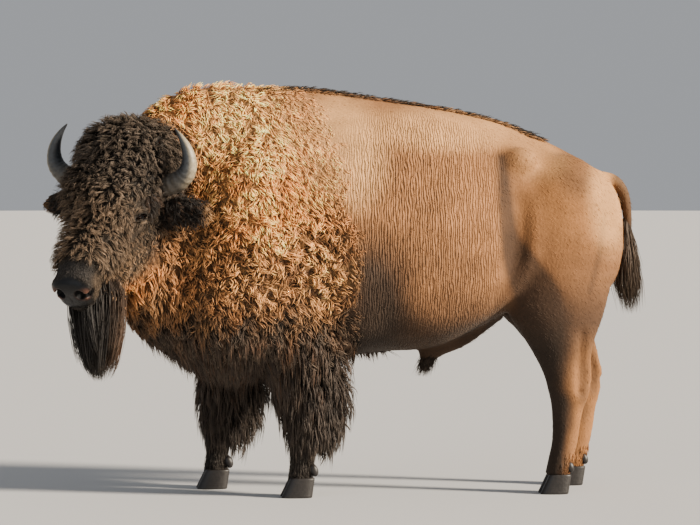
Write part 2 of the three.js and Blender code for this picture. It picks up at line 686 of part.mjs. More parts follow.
// A part of the body's surface, meshed in a box. It is kept on the first side of the planes in
// `before` and on the second side of those in `after`, and `minus` is cut out of it.
function flesh({ box: [min, max], cell, frame, before = [], after = [], minus = [] }) {
  let solid = solidOf(meshField(body, min, max, cell, frame));
  for (const name of before) solid = solid.subtract(beyond(PLANES[name]));
  for (const name of after) solid = solid.subtract(beyond(flipped(PLANES[name])));
  for (const other of minus) solid = solid.subtract(other);
  return biggestPiece(solid);
}

const bothSides = (form, ...rest) => Object.values(SIDES).map((side) => form(side, ...rest));
const sockets = [...bothSides(horn, GAP), ...bothSides(ear, GAP), ...bothSides(eye, GAP)];

// The parts of the head share one grid that is square to the face.
const faceFrame = new THREE.Matrix4().makeBasis(noseward, left, outward).setPosition(POLL);
const HEAD_BOX = [[-420, -338, -440], [820, 338, 290]];
const MUZZLE_BOX = [[360, -190, -260], [700, 190, 140]];
const headParts = {
  crown: {
    box: HEAD_BOX,
    cell: [72, 52, 66],
    after: ["faceToCrown"],
    look: DARK_WOOL,
  },
  face: {
    box: HEAD_BOX,
    cell: [70, 52, 68],
    before: ["faceToCrown", "faceToMuzzle", "headToBeard"],
    look: DARK_WOOL,
  },
  muzzle: {
    box: MUZZLE_BOX,
    cell: [37, 31, 35],
    before: ["muzzleToChin", "headToBeard"],
    after: ["faceToMuzzle"],
    look: NOSE_SKIN,
  },
  chin: {
    box: MUZZLE_BOX,
    cell: [42, 34.5, 38],
    before: ["headToBeard"],
    after: ["muzzleToChin", "faceToMuzzle"],
    look: NOSE_SKIN,
  },
  beard: {
    box: HEAD_BOX,
    cell: [74, 52, 66],
    after: ["headToBeard"],
    look: DARK_WOOL,
  },
};

function addHead() {
  for (const [name, { look, after = [], ...shape }] of Object.entries(headParts)) {
    const minus = name === "muzzle" ? bothSides(nostril) : sockets;
    const planes = ["shoulderToNeck", "neckToHead", "throatToHead", ...after];
    addPart(name, flesh({ ...shape, after: planes, frame: faceFrame, minus }), look);
  }
  for (const [name, side] of Object.entries(SIDES)) {
    addPart(`horn_${name}`, horn(side), HORN_SHEATH);
    addPart(`ear_${name}`, ear(side), DARK_WOOL);
    addPart(`eye_${name}`, eye(side), EYE_GLASS);
  }
}

function addTrunk() {
  const legs = bothSides(forelegBlock, GAP);
  const headRegion = beyond(PLANES.neckToHead).intersect(beyond(PLANES.throatToHead));
  const neck = flesh({
    box: [[-1280, -560, 420], [-560, 400, 1860]],
    cell: [98, 92, 104],
    after: ["shoulderToNeck"],
    minus: [headRegion, ...sockets, ...legs],
  });
  addPart("neck", neck, WOOL);
  const shoulders = flesh({
    box: [[-1100, -611, 380], [80, 611, 1900]],
    cell: [160, 94, 126],
    before: ["shoulderToNeck", "shoulderToBarrel"],
    minus: [...sockets, ...legs],
  });
  addPart("shoulders", shoulders, WOOL);
  const barrel = flesh({
    box: [[-300, -611, 440], [860, 611, 1900]],
    cell: [175, 94, 116],
    before: ["barrelToRump"],
    after: ["shoulderToBarrel"],
    minus: [...legs, sheathBlock(GAP)],
  });
  addPart("barrel", barrel, SHORT_COAT);
  const rump = flesh({
    box: [[420, -495, 640], [1360, 495, 1780]],
    cell: [100, 90, 98],
    before: ["rumpToThigh"],
    after: ["barrelToRump"],
    minus: [tail(GAP)],
  });
  addPart("rump", rump, SHORT_COAT);
  const underBelly = solidOf(meshField(body, [180, -200, 440], [700, 200, 800], [52, 40, 46]));
  addPart("sheath", biggestPiece(underBelly.intersect(sheathBlock(0))), LEG_COAT);
  addPart("tail", tail(), SHORT_COAT);
  addPart("tassel", sweep(TASSEL, SIDEWAYS, 8, 6).subtract(tail(GAP)), DARK_WOOL);
}

// A box from x0 to x1 and z0 to z1 that reaches from the inner to the outer side of a leg.
function sideBox(side, [x0, x1], [inner, outer], [z0, z1]) {
  const [y0, y1] = bySide(side, inner, outer);
  return [[x0, y0, z0], [x1, y1, z1]];
}

function addLegs(name, side) {
  const legBox = sideBox(side, [-1040, 230], [-20, 520], [30, 760]);
  const foreleg = solidOf(meshField(body, ...legBox, [86, 68, 104]));
  const upper = foreleg.intersect(forelegBlock(side, 0)).subtract(beyond(PLANES.legToPastern));
  addPart(`foreleg_${name}`, biggestPiece(upper), LEG_COAT);
  addFoot(`fore_${name}`);

  const thigh = flesh({
    box: sideBox(side, [500, 1340], [-90, 480], [540, 1160]),
    cell: [96, 72, 98],
    before: ["thighToShank", ...(side < 0 ? ["leftToRight"] : [])],
    after: ["barrelToRump", "rumpToThigh", ...(side > 0 ? ["leftToRight"] : [])],
  });
  addPart(`thigh_${name}`, thigh, SHORT_COAT);
  const stride = side > 0 ? HIND_STRIDE : 0;
  const shank = flesh({
    box: sideBox(side, [680 + stride / 2, 1240 + stride / 2], [10, 350], [120, 820]),
    cell: [52, 42, 82],
    before: ["legToPastern"],
    after: ["thighToShank"],
  });
  addPart(`shank_${name}`, shank, LEG_COAT);
  addFoot(`hind_${name}`);
}

function addFoot(name) {
  const foot = FEET[name];
  const side = Math.sign(foot.y);
  const pastern = flesh({
    box: [[foot.x - 170, foot.y - 130, 20], [foot.x + 280, foot.y + 130, 300]],
    cell: [60, 52, 66],
    before: ["pasternToHoof"],
    after: ["legToPastern"],
    minus: bothSides((s) => dewclaw(foot, s, GAP)),
  });
  addPart(`pastern_${name}`, pastern, LEG_COAT);
  for (const [place, way] of [["inner", -side], ["outer", side]]) {
    const spread = (CLAW.width * foot.size + CLAW.cleft) / 2;
    const half = claw(foot.size).translate([foot.x, foot.y + way * spread, 0]);
    addPart(`hoof_${name}_${place}`, half, HOOF_HORN);
    addPart(`dewclaw_${name}_${place}`, dewclaw(foot, way), HOOF_HORN);
  }
}

addHead();
addTrunk();
for (const [name, side] of Object.entries(SIDES)) addLegs(name, side);

// The part's origin is on the ground, below the middle of its bounding box.
const bounds = new THREE.Box3().setFromObject(animal);
const middle = bounds.getCenter(new THREE.Vector3());
animal.position.set(-middle.x, -middle.y, -bounds.min.z);

const part = new THREE.Group();
part.add(animal);
export default part;
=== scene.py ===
import math

import bmesh
import bpy
import numpy as np
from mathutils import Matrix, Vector


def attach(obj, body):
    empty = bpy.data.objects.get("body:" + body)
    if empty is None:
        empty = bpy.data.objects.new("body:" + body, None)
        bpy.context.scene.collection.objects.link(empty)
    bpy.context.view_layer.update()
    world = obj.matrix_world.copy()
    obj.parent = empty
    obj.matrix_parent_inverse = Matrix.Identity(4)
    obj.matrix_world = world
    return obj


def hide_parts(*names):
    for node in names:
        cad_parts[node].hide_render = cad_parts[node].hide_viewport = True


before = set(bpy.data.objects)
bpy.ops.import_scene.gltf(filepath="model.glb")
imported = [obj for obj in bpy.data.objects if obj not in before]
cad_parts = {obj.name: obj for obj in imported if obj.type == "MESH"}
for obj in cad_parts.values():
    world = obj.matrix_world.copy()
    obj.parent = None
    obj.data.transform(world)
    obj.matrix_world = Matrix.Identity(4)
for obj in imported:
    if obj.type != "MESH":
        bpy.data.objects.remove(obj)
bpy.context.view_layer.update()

# ------------------------------------------------------------------ camera, floor and light
# A long lens far to the animal's left, a little ahead of square, at the height of its back.
# A plain pale floor, a broad warm light from behind the rump and a weak cool one from the head.

LOOKED_AT = Vector((0.022, 0.0963, 1.010))
CAMERA_TURN, CAMERA_RISE = math.radians(-6), math.radians(2.2)
CAMERA_DISTANCE, FARTHEST = 13.0, 200.0
FOCAL_LENGTH, SENSOR_WIDTH = 151.9, 36.0  # mm
FLOOR_RADIUS, FLOOR_GREY = 60.0, (0.50, 0.50, 0.50)
SKY_COLOR, SKY_STRENGTH = (0.92, 0.95, 1.0, 1), 0.4


def placed(name, data):
    """A new object for the data, in the scene."""
    made = bpy.data.objects.new(name, data)
    bpy.context.collection.objects.link(made)
    return made


lens = bpy.data.cameras.new("view_from_left")
lens.lens, lens.sensor_width, lens.clip_end = FOCAL_LENGTH, SENSOR_WIDTH, FARTHEST
camera = placed("view_from_left", lens)
camera.location = LOOKED_AT + CAMERA_DISTANCE * Vector(
    (
        math.sin(CAMERA_TURN) * math.cos(CAMERA_RISE),
        -math.cos(CAMERA_TURN) * math.cos(CAMERA_RISE),
        math.sin(CAMERA_RISE),
    )
)
camera.rotation_euler = (LOOKED_AT - camera.location).to_track_quat("-Z", "Y").to_euler()
bpy.context.scene.camera = camera


def blank_material(name):
    """A new material, with its node tree and its shader."""
    material = bpy.data.materials.new(name)
    material.use_nodes = True
    return material, material.node_tree, material.node_tree.nodes["Principled BSDF"]


def plug(tree, target, inputs):
    """Sets a node's inputs: a socket is linked, and anything else is the value itself."""
    for name, given in inputs.items():
        if isinstance(given, bpy.types.NodeSocket):
            tree.links.new(given, target.inputs[name])
        else:
            target.inputs[name].default_value = given


def plain_material(name, color, roughness):
    material, tree, shader = blank_material(name)
    plug(tree, shader, {"Base Color": (*color, 1), "Roughness": roughness})
    return material


bpy.ops.mesh.primitive_circle_add(
    vertices=96, radius=FLOOR_RADIUS, fill_type="NGON", location=(0, 0, 0)
)
floor = bpy.context.object
floor.name = "floor"
floor.data.materials.append(plain_material("pale_floor", FLOOR_GREY, 0.9))


def sun(name, toward, strength, spread, color):
    light = bpy.data.lights.new(name, "SUN")
    light.energy = strength
    light.angle = math.radians(spread)
    light.color = color
    placed(name, light).rotation_euler = Vector(toward).to_track_quat("Z", "Y").to_euler()


sun("key_light", (0.90, -0.38, 0.42), 12.5, 8, (1.0, 0.88, 0.72))
sun("fill_light", (-0.6, -0.8, 0.4), 0.35, 40, (0.86, 0.93, 1.0))

world = bpy.data.worlds.new("studio")
world.use_nodes = True
plug(
    world.node_tree, world.node_tree.nodes["Background"],
    {"Color": SKY_COLOR, "Strength": SKY_STRENGTH},
)
bpy.context.scene.world = world

# ------------------------------------------------------------------ the hide
# One hide covers trunk, neck, head, legs and tail with no seam. It is the surface of the same
# rounded forms as the solids, in the animal's own millimetres, moved in by the coat's depth.
# A net of quads is laid on it, drawn onto the surface, and made finer at eyes, mouth and ears.

SHIFT = (22.03, 96.33, 0.0)  # from the animal's own place to the frame's, mm
CORONET = 86.0  # height of the top of the claws
FORE_STRIDE, HIND_STRIDE = 345.0, 125.0  # how far a right foot is set ahead or back
FORE_APART, HIND_APART = 190, 168  # from the middle line to a foot


def to_frame(points):
    return (points + np.array(SHIFT)) * 0.001


def blend(a, b, soft):
    """The union of two forms, with a fillet where they meet."""
    h = np.maximum(soft - np.abs(a - b), 0) / soft
    return np.minimum(a, b) - h * h * (soft / 4)


def scoop(a, b, soft):
    return -blend(-a, b, soft)


def smooth(value, low, high):
    t = np.clip((value - low) / (high - low), 0, 1)
    return t * t * (3 - 2 * t)


def both_sides(p):
    """The points with one side of the animal folded onto the other."""
    return np.stack([p[0], np.abs(p[1]), p[2]])


def fore_foot(side):
    """How far a forefoot is set from its plain place, and its distance to the right."""
    return (0 if side < 0 else -FORE_STRIDE), side * FORE_APART


def hind_foot(side):
    return (0 if side < 0 else HIND_STRIDE), side * HIND_APART


def rounded(p, at, radii, power=2):
    d = [p[k] - at[k] for k in range(3)]
    reach = sum(np.abs(d[k] / radii[k]) ** power for k in range(3)) ** (1 / power)
    length = np.sqrt(d[0] ** 2 + d[1] ** 2 + d[2] ** 2 + 1e-6)
    return length * (1 - 1 / np.maximum(reach, 1e-4))


def limb(p, joints, soft=30):
    """A chain of joints: x, y, z, half depth fore and aft, half width. Soft 0 is a plain union."""
    nearest = None
    for a, b in zip(joints, joints[1:]):
        axis = [b[k] - a[k] for k in range(3)]
        start = [p[k] - a[k] for k in range(3)]
        t = sum(start[k] * axis[k] for k in range(3)) / sum(v * v for v in axis)
        t = np.clip(t, 0, 1)
        off = [start[k] - axis[k] * t for k in range(3)]
        deep = a[3] + (b[3] - a[3]) * t
        wide = a[4] + (b[4] - a[4]) * t
        size = [deep, wide, np.minimum(deep, wide)]
        k = np.sqrt(sum((off[n] / size[n]) ** 2 for n in range(3)))
        g = np.sqrt(sum((off[n] / size[n] ** 2) ** 2 for n in range(3)))
        d = np.where(g < 1e-7, -size[2], k * (k - 1) / np.maximum(g, 1e-7))
        if nearest is None:
            nearest = d
        else:
            nearest = blend(nearest, d, soft) if soft else np.minimum(nearest, d)
    return nearest


def eased(joints, parts=4):
    """The same chain with more joints, on a smooth curve through the first ones."""
    row = np.array(joints, dtype=float)
    ends = np.concatenate([[2 * row[0] - row[1]], row, [2 * row[-1] - row[-2]]])
    fine = [row[0]]
    for i in range(len(row) - 1):
        a, b, c, d = ends[i:i + 4]
        for t in (np.arange(parts) + 1) / parts:
            square, cube = 2 * a - 5 * b + 4 * c - d, 3 * b - a - 3 * c + d
            fine.append(0.5 * (2 * b + (c - a) * t + square * t**2 + cube * t**3))
    return [tuple(r) for r in fine]


TRUNK = np.array(
    [
        # x, top, belly, half width, how much slimmer it is at the spine
        (-950, 1590, 830, 140, 0.20),
        (-880, 1702, 690, 212, 0.30),
        (-740, 1788, 552, 285, 0.36),
        (-590, 1813, 480, 332, 0.42),
        (-410, 1802, 492, 352, 0.42),
        (-180, 1777, 570, 352, 0.36),
        (110, 1734, 612, 368, 0.26),
        (360, 1696, 632, 378, 0.20),
        (600, 1648, 735, 318, 0.24),
        (800, 1578, 850, 252, 0.30),
        (1000, 1482, 950, 212, 0.28),
        (1130, 1395, 1040, 150, 0.15),
        (1195, 1290, 1130, 70, 0.00),
    ]
)
FULLNESS = 2.3


def along(x, column):
    """A value at x on the smooth curve through the trunk's stations."""
    at, value = TRUNK[:, 0], TRUNK[:, column]
    slope = np.gradient(value, at)
    slope[1:-1] = (value[2:] - value[:-2]) / (at[2:] - at[:-2])
    i = np.clip(np.searchsorted(at, x, side="right") - 1, 0, len(at) - 2)
    step = at[i + 1] - at[i]
    t = (x - at[i]) / step
    return (
        value[i] * (1 + 2 * t) * (1 - t) ** 2
        + value[i + 1] * (3 - 2 * t) * t**2
        + step * t * (1 - t) * (slope[i] * (1 - t) - slope[i + 1] * t)
    )


def trunk(p):
    x = np.clip(p[0], TRUNK[0, 0], TRUNK[-1, 0])
    top, belly = along(x, 1), along(x, 2)
    height = (top - belly) / 2
    rise = p[2] - (top + belly) / 2
    half = along(x, 3) * (1 - along(x, 4) * np.clip(rise / height, -1, 1))
    out = np.hypot(p[1], rise) + 1e-3
    share = (np.abs(p[1] / half) ** FULLNESS + np.abs(rise / height) ** FULLNESS) ** (1 / FULLNESS)
    across = out * (1 - 1 / np.maximum(share, 1e-4))
    past = np.abs(p[0] - x)
    beyond = np.hypot(np.maximum(across, 0), past) + np.minimum(across, 0) * 0.2
    return np.where(past == 0, across, beyond)


MUSCLES = [
    # middle, radii and fillet of each mass that stands out on both sides
    ((-430, 232, 1120), (230, 150, 400), 110),  # shoulder blade
    ((-560, 235, 830), (190, 135, 190), 110),  # upper arm
    ((330, 215, 1040), (330, 176, 330), 90),  # ribs
    ((728, 196, 1462), (74, 52, 60), 90),  # hook bone
    ((925, 132, 1170), (232, 142, 320), 80),  # haunch
    ((1108, 98, 1130), (96, 96, 250), 60),  # buttock
]


def forearm(side):
    s, y = fore_foot(side)
    return [
        (-345 + s * 0.45, side * 235, 860, 150, 115),
        (-275 + s * 0.85, y, 440, 72, 66),
        (-243 + s, y, 340, 52, 46),
        (-228 + s, y, 190, 50, 47),
        (-240 + s, y, 60, 53, 54),
    ]


def chaps(side):
    s, y = fore_foot(side)
    return [
        (-300 + s * 0.5, side * 215, 800, 200, 140),
        (-185 + s * 0.88, y, 560, 168, 128),
        (-168 + s * 0.97, y, 400, 166, 116),
        (-168 + s, y, 260, 124, 92),
        (-168 + s, y, 190, 74, 60),
    ]


def hind_leg(side):
    s, y = hind_foot(side)
    bone = [
        (950, side * 145, 1080, 235, 128),
        (895, side * 160, 850, 225, 116),
        (900 + s * 0.2, side * 165, 757, 190, 98),
        (915 + s * 0.4, y, 647, 138, 78),
        (928 + s * 0.6, y, 560, 106, 62),
        (948 + s * 0.9, y, 460, 95, 54),
        (940 + s, y, 361, 70, 44),
        (930 + s, y, 229, 58, 46),
        (908 + s, y, 141, 52, 50),
        (890 + s, y, 60, 52, 50),
    ]
    tendon = [
        (1000 + s * 0.55, y, 720, 50, 34),
        (1006 + s * 0.75, y, 600, 36, 26),
        (1004 + s * 0.9, y, 505, 42, 32),
    ]
    return bone, tendon


NECK = [
    ((-865, -58, 1270), (190, 232, 380), 110),  # crest
    ((-848, -105, 884), (170, 205, 226), 110),  # throat
    ((-925, -195, 1020), (150, 160, 215), 90),  # below the jaw
]
SHEATH = [
    (640, 0, 772, 44, 34),
    (500, 0, 676, 50, 40),
    (400, 0, 636, 50, 42),
    (346, 0, 600, 42, 36),
    (326, 0, 530, 24, 22),
]

# The head hangs from the poll, turned to the left, with its own directions.
POLL = np.array([-1018.0, -250.0, 1350.0])
HEAD_TURN, HEAD_DROP, HEAD_ROLL = math.radians(61.5), math.radians(48), math.radians(-2.3)
ahead = np.array([-math.cos(HEAD_TURN), -math.sin(HEAD_TURN), 0.0])
level_left = np.array([-ahead[1], ahead[0], 0.0])
left = level_left * math.cos(HEAD_ROLL) + np.cross(ahead, level_left) * math.sin(HEAD_ROLL)
up = np.cross(ahead, left)
noseward = ahead * math.cos(HEAD_DROP) - up * math.sin(HEAD_DROP)
outward = ahead * math.sin(HEAD_DROP) + up * math.cos(HEAD_DROP)


def face_point(down, side, out):
    return POLL + noseward * down + left * side + outward * out


def level_point(forward, side, height):
    return POLL + ahead * forward + left * side + up * height


def measured(p, axes, origin=POLL):
    """How far each point lies from the poll, or another place, along three directions."""
    d = [p[k] - origin[k] for k in range(3)]
    return np.stack([d[0] * a[0] + d[1] * a[1] + d[2] * a[2] for a in axes])


NOSE_SWING = 24.0  # how far the nose lies to the right of the line down from poll and brow


def in_face(p):
    q = measured(p, (noseward, left, outward))
    q[1] += NOSE_SWING * smooth(q[0], 200, 560)
    return q


BEARD = [
    (*face_point(405, 0, -170), 112, 118),
    (-1112, -410, 745, 98, 108),
    (-1114, -414, 630, 70, 72),
    (-1110, -412, 556, 28, 30),
]
WOOLLY_HEAD = [
    # middle, radii, fillet, power and whether it is one of a pair
    ((100, 0, -100), (235, 158, 140), 1, 2, False),
    ((80, 0, 30), (250, 232, 172), 60, 2, False),
    ((-122, 0, 42), (205, 240, 198), 80, 2, False),
    ((-120, 0, -120), (200, 205, 160), 90, 2, False),
    ((325, 0, -18), (240, 162, 142), 60, 2, False),
    ((506, 0, -52), (84, 88, 92), 40, 2.8, False),
    ((492, 0, -152), (76, 64, 46), 24, 2, False),
    ((320, 0, -165), (225, 92, 92), 50, 2, False),
    ((162, 132, -20), (58, 44, 50), 40, 2, True),
    ((235, 100, -165), (150, 70, 112), 50, 2, True),
    ((540, 50, -22), (44, 38, 44), 24, 2, True),
]
EYE_HOLLOW = ((182, 256, 24), (98, 106, 102))


def union_of(p, forms):
    mirrored = both_sides(p)
    d = None
    for at, radii, soft, power, pair in forms:
        form = rounded(mirrored if pair else p, at, radii, power)
        d = form if d is None else blend(d, form, soft)
    return d


def woolly_head(p):
    q = in_face(p)
    d = scoop(union_of(q, WOOLLY_HEAD), rounded(both_sides(q), *EYE_HOLLOW), 30)
    return blend(d, limb(p, BEARD, 40), 40)


def join(d, p, where, form, soft):
    """Blends a form into the field at the points where it can matter."""
    near = np.flatnonzero(where)
    if near.size:
        d[near] = blend(d[near], form(p[:, near]), soft)


def trunk_and_muscles(p, fillet=1.0):
    mirrored = both_sides(p)
    d = trunk(p)
    for at, radii, soft in MUSCLES:
        d = blend(d, rounded(mirrored, at, radii), soft * fillet)
    return d


def coat_surface(p):
    """The outer surface, at the tips of the coat."""
    d = trunk_and_muscles(p)
    x, z = p[0], p[2]
    for side in (-1, 1):
        join(
            d, p, (z < 1500) & (x < 500),
            lambda q: blend(limb(q, forearm(side), 40), limb(q, chaps(side), 90), 40), 60,
        )
        bone, tendon = hind_leg(side)
        join(
            d, p, (z < 1700) & (x > 300),
            lambda q: blend(limb(q, bone, 40), limb(q, tendon, 30), 40), 50,
        )
    join(d, p, (x > 100) & (z < 1200), lambda q: limb(q, SHEATH), 40)
    for at, radii, soft in NECK:
        join(d, p, x < -300, lambda q: rounded(q, at, radii), soft)
    join(d, p, x < -300, woolly_head, 70)
    return d


def cape(p):
    """1 where the long wool of the forequarters grows, 0 on the short coat behind."""
    high = smooth(p[2], 1200, 1500)
    back = p[0] + 0.42 * np.maximum(p[2] - 1150, 0)
    return 1 - smooth(back, -120 - 150 * high, 36 + 130 * high)


def coat_depth(p):
    low = 1 - smooth(p[2], 560, 800)
    wool = cape(p)
    return 6 + wool * (20 + 10 * smooth(p[2], 1450, 1760) + 34 * low)


BARE_HEAD = [
    ((100, 0, -100), (230, 153, 134), 1, 2, False),  # skull
    ((70, 0, 20), (230, 202, 142), 60, 2, False),  # brow
    ((-118, 0, 28), (182, 208, 166), 80, 2, False),  # crown
    ((-120, 0, -120), (172, 178, 134), 90, 2, False),  # poll
    ((325, 0, -26), (226, 128, 112), 60, 2, False),  # bridge of the nose
    ((506, 0, -50), (84, 84, 88), 40, 3.2, False),  # muzzle
    ((492, 0, -152), (74, 62, 44), 24, 2, False),  # chin
    ((320, 0, -165), (220, 88, 88), 50, 2, False),  # jaw
    ((162, 132, -20), (58, 42, 50), 40, 2, True),  # eye socket
    ((120, 138, 34), (60, 26, 26), 30, 2, True),  # ridge over the eye
    ((262, 108, -70), (96, 30, 26), 30, 2, True),  # cheek bone
    ((235, 96, -165), (146, 66, 108), 50, 2, True),  # cheek
    ((544, 54, -22), (42, 40, 44), 20, 2, True),  # wing of the nostril
]
EYE_AT = (166, 161, 3)
EYE_RADIUS = 25.0
# Each eye looks out to its side, and its corners lie fore and aft.
GAZE = np.array([0.30, 0.86, 0.42])
GAZE /= np.linalg.norm(GAZE)
CORNERS = np.array([0.62, -0.45, 0.30])
CORNERS -= GAZE * (CORNERS @ GAZE)
CORNERS /= np.linalg.norm(CORNERS)
LID_RISE = np.cross(CORNERS, GAZE)


def in_eye(mirrored):
    """Place about the eye: out of the head, towards the corner and up to the upper lid."""
    return measured(mirrored, (GAZE, CORNERS, LID_RISE), EYE_AT)


def in_ear(p):
    """Place about the ears: up, ahead, and out to either side."""
    ear = measured(p, (up, ahead, left))
    ear[2] = np.abs(ear[2])
    return ear


EAR = [
    # up, ahead, side, half width, half thickness
    (-88, -58, 130, 26, 17),
    (-90, -62, 205, 41, 16),
    (-88, -65, 290, 56, 13),
    (-94, -70, 360, 42, 10),
    (-101, -75, 396, 12, 7),
]
EAR_CUP = [(-89, -46, 262, 26, 10), (-89, -48, 300, 34, 11), (-94, -56, 352, 22, 8)]


def bare_head(p):
    q = in_face(p)
    mirrored = both_sides(q)
    d = union_of(q, BARE_HEAD) + 3 * (1 - smooth(q[0], 470, 520))
    d = scoop(d, rounded(mirrored, (182, 272, 22), (98, 106, 100)), 30)
    # nostrils: a wide comma-shaped hollow that opens forwards and to the side
    d = scoop(d, rounded(mirrored, (584, 46, -24), (32, 22, 27)), 9)
    d = scoop(d, rounded(mirrored, (560, 84, -34), (32, 26, 16)), 9)
    # the groove down the middle of the nose, and the line of the mouth
    d = scoop(d, rounded(mirrored, (606, 0, -58), (20, 3.5, 40)), 8)
    d = scoop(d, rounded(mirrored, (505, 0, -108), (97, 93, 3.2)), 9)
    d = blend(d, rounded(mirrored, (515, 0, -126), (62, 60, 20)), 16)
    # lids: a rim round the eyeball, open in a slot, with a heavy fold above and a bag below
    eye = in_eye(mirrored)
    d = scoop(d, rounded(eye, (36, 0, 0), (22, 48, 38)), 20)
    d = blend(d, rounded(eye, (0, 0, 0), (EYE_RADIUS + 5.0,) * 3), 10)
    d = blend(d, rounded(eye, (11, -2, 27), (22, 40, 12)), 10)
    d = blend(d, rounded(eye, (6, 4, -29), (16, 30, 6)), 9)
    d = scoop(d, rounded(eye, (30, 3, -1), (35, 34, 12.5)), 2.5)
    d = scoop(d, rounded(eye, (29, 0, 15.5), (9, 30, 2.2)), 4)
    ear = in_ear(p)
    ears = scoop(limb(ear, eased(EAR), 0), limb(ear, eased(EAR_CUP), 0), 5)
    return blend(d, ears, 26)


TAIL = [
    (1085, 0, 1385, 34, 30),
    (1172, 0, 1370, 28, 27),
    (1220, 0, 1312, 24, 24),
    (1239, 0, 1210, 19, 19),
    (1238, 0, 1110, 17, 17),
    (1240, 0, 1030, 10, 10),
]


def creases(p, d):
    """Hollows and folds of the skin on both sides of the hindquarters."""
    mirrored = both_sides(p)
    flank_hollow = [
        (706, 330, 1440, 44, 62), (712, 338, 1340, 74, 106), (714, 346, 1200, 82, 106),
        (706, 352, 1060, 80, 104), (676, 348, 930, 64, 92), (624, 336, 845, 40, 80),
    ]
    d = scoop(d, limb(mirrored, eased(flank_hollow), 0), 28)
    flank_edge = [
        (680, 298, 1460, 28, 30), (674, 304, 1340, 36, 44), (670, 308, 1180, 36, 44),
        (662, 312, 1040, 32, 40), (636, 322, 935, 24, 28),
    ]
    d = scoop(d, limb(mirrored, eased(flank_edge), 0), 10)
    ham = [(1165, 220, 1230, 14, 30), (1138, 244, 1030, 17, 36), (1082, 256, 840, 13, 30)]
    d = scoop(d, limb(mirrored, eased(ham), 0), 44)
    stifle = [(836, 318, 1040, 12, 40), (812, 316, 920, 20, 52), (852, 298, 800, 16, 46)]
    return scoop(d, limb(mirrored, eased(stifle), 0), 40)


def gaskin(p, side):
    """The hind leg's hide, with the groove between muscle and tendon."""
    bone = hind_leg(side)[0]
    s, y = hind_foot(side)
    cord = [
        (1004 + s * 0.55, y, 720, 46, 34), (1020 + s * 0.75, y, 600, 27, 25),
        (1024 + s * 0.9, y, 505, 28, 30),
    ]
    d = blend(limb(p, eased(bone), 12), limb(p, eased(cord), 8), 16) + 5
    groove = [
        (996 + s * 0.5, 84, 700, 14, 26), (994 + s * 0.65, 66, 600, 19, 30),
        (996 + s * 0.85, 54, 505, 20, 26), (990 + s * 0.9, 50, 450, 12, 18),
    ]
    from_leg = np.stack([p[0], np.abs(p[1] - y), p[2]])
    return scoop(d, limb(from_leg, eased(groove), 0), 30)


def skin_surface(p):
    d = trunk_and_muscles(p, 0.7) + coat_depth(p)
    x, z = p[0], p[2]
    rear = np.flatnonzero(x > 450)
    if rear.size:
        d[rear] = creases(p[:, rear], d[rear])
    for side in (-1, 1):
        join(d, p, (z < 1500) & (x < 500), lambda q: limb(q, eased(forearm(side)), 0) + 4, 60)
        join(
            d, p, (z < 1100) & (x < 300),
            lambda q: limb(q, eased(chaps(side)[:4]), 0) + 46, 60,
        )
        join(d, p, (z < 1700) & (x > 300), lambda q: gaskin(q, side), 34)
    join(d, p, (x > 100) & (z < 1200), lambda q: limb(q, eased(SHEATH[:4]), 0) + 5, 40)
    join(d, p, x > 900, lambda q: limb(q, eased(TAIL), 0), 24)
    for at, radii, soft in NECK:
        join(d, p, x < -300, lambda q: rounded(q, at, radii) + 28, soft)
    join(d, p, x < -300, bare_head, 60)
    return np.maximum(d, CORONET - 6 - z)


def slope_of(field, p, probe=1.5):
    """The field at the points, and its slope."""
    here = field(p)
    slope = np.empty_like(p)
    for k in range(3):
        beside = p.copy()
        beside[k] += probe
        slope[k] = (field(beside) - here) / probe
    return here, slope


def settle(field, p, times=3, most=6.0):
    """Moves points onto the surface of the field."""
    for _ in range(times):
        here, slope = slope_of(field, p)
        steep = np.maximum((slope**2).sum(axis=0), 0.05)
        p = p - slope * np.clip(here / steep, -most, most)
    return p


FINE_CELL, COARSE_CELL = 9.0, 18.5
SLAB = 12  # planes of the grid that are measured at a time


def planes(low, high, fine_from, fine_to):
    """Grid planes from low to high: close together in the head's range, wider outside it."""
    marks = [low]
    while marks[-1] < high:
        fine = fine_from <= marks[-1] < fine_to
        marks.append(marks[-1] + (FINE_CELL if fine else COARSE_CELL))
    return np.array(marks)


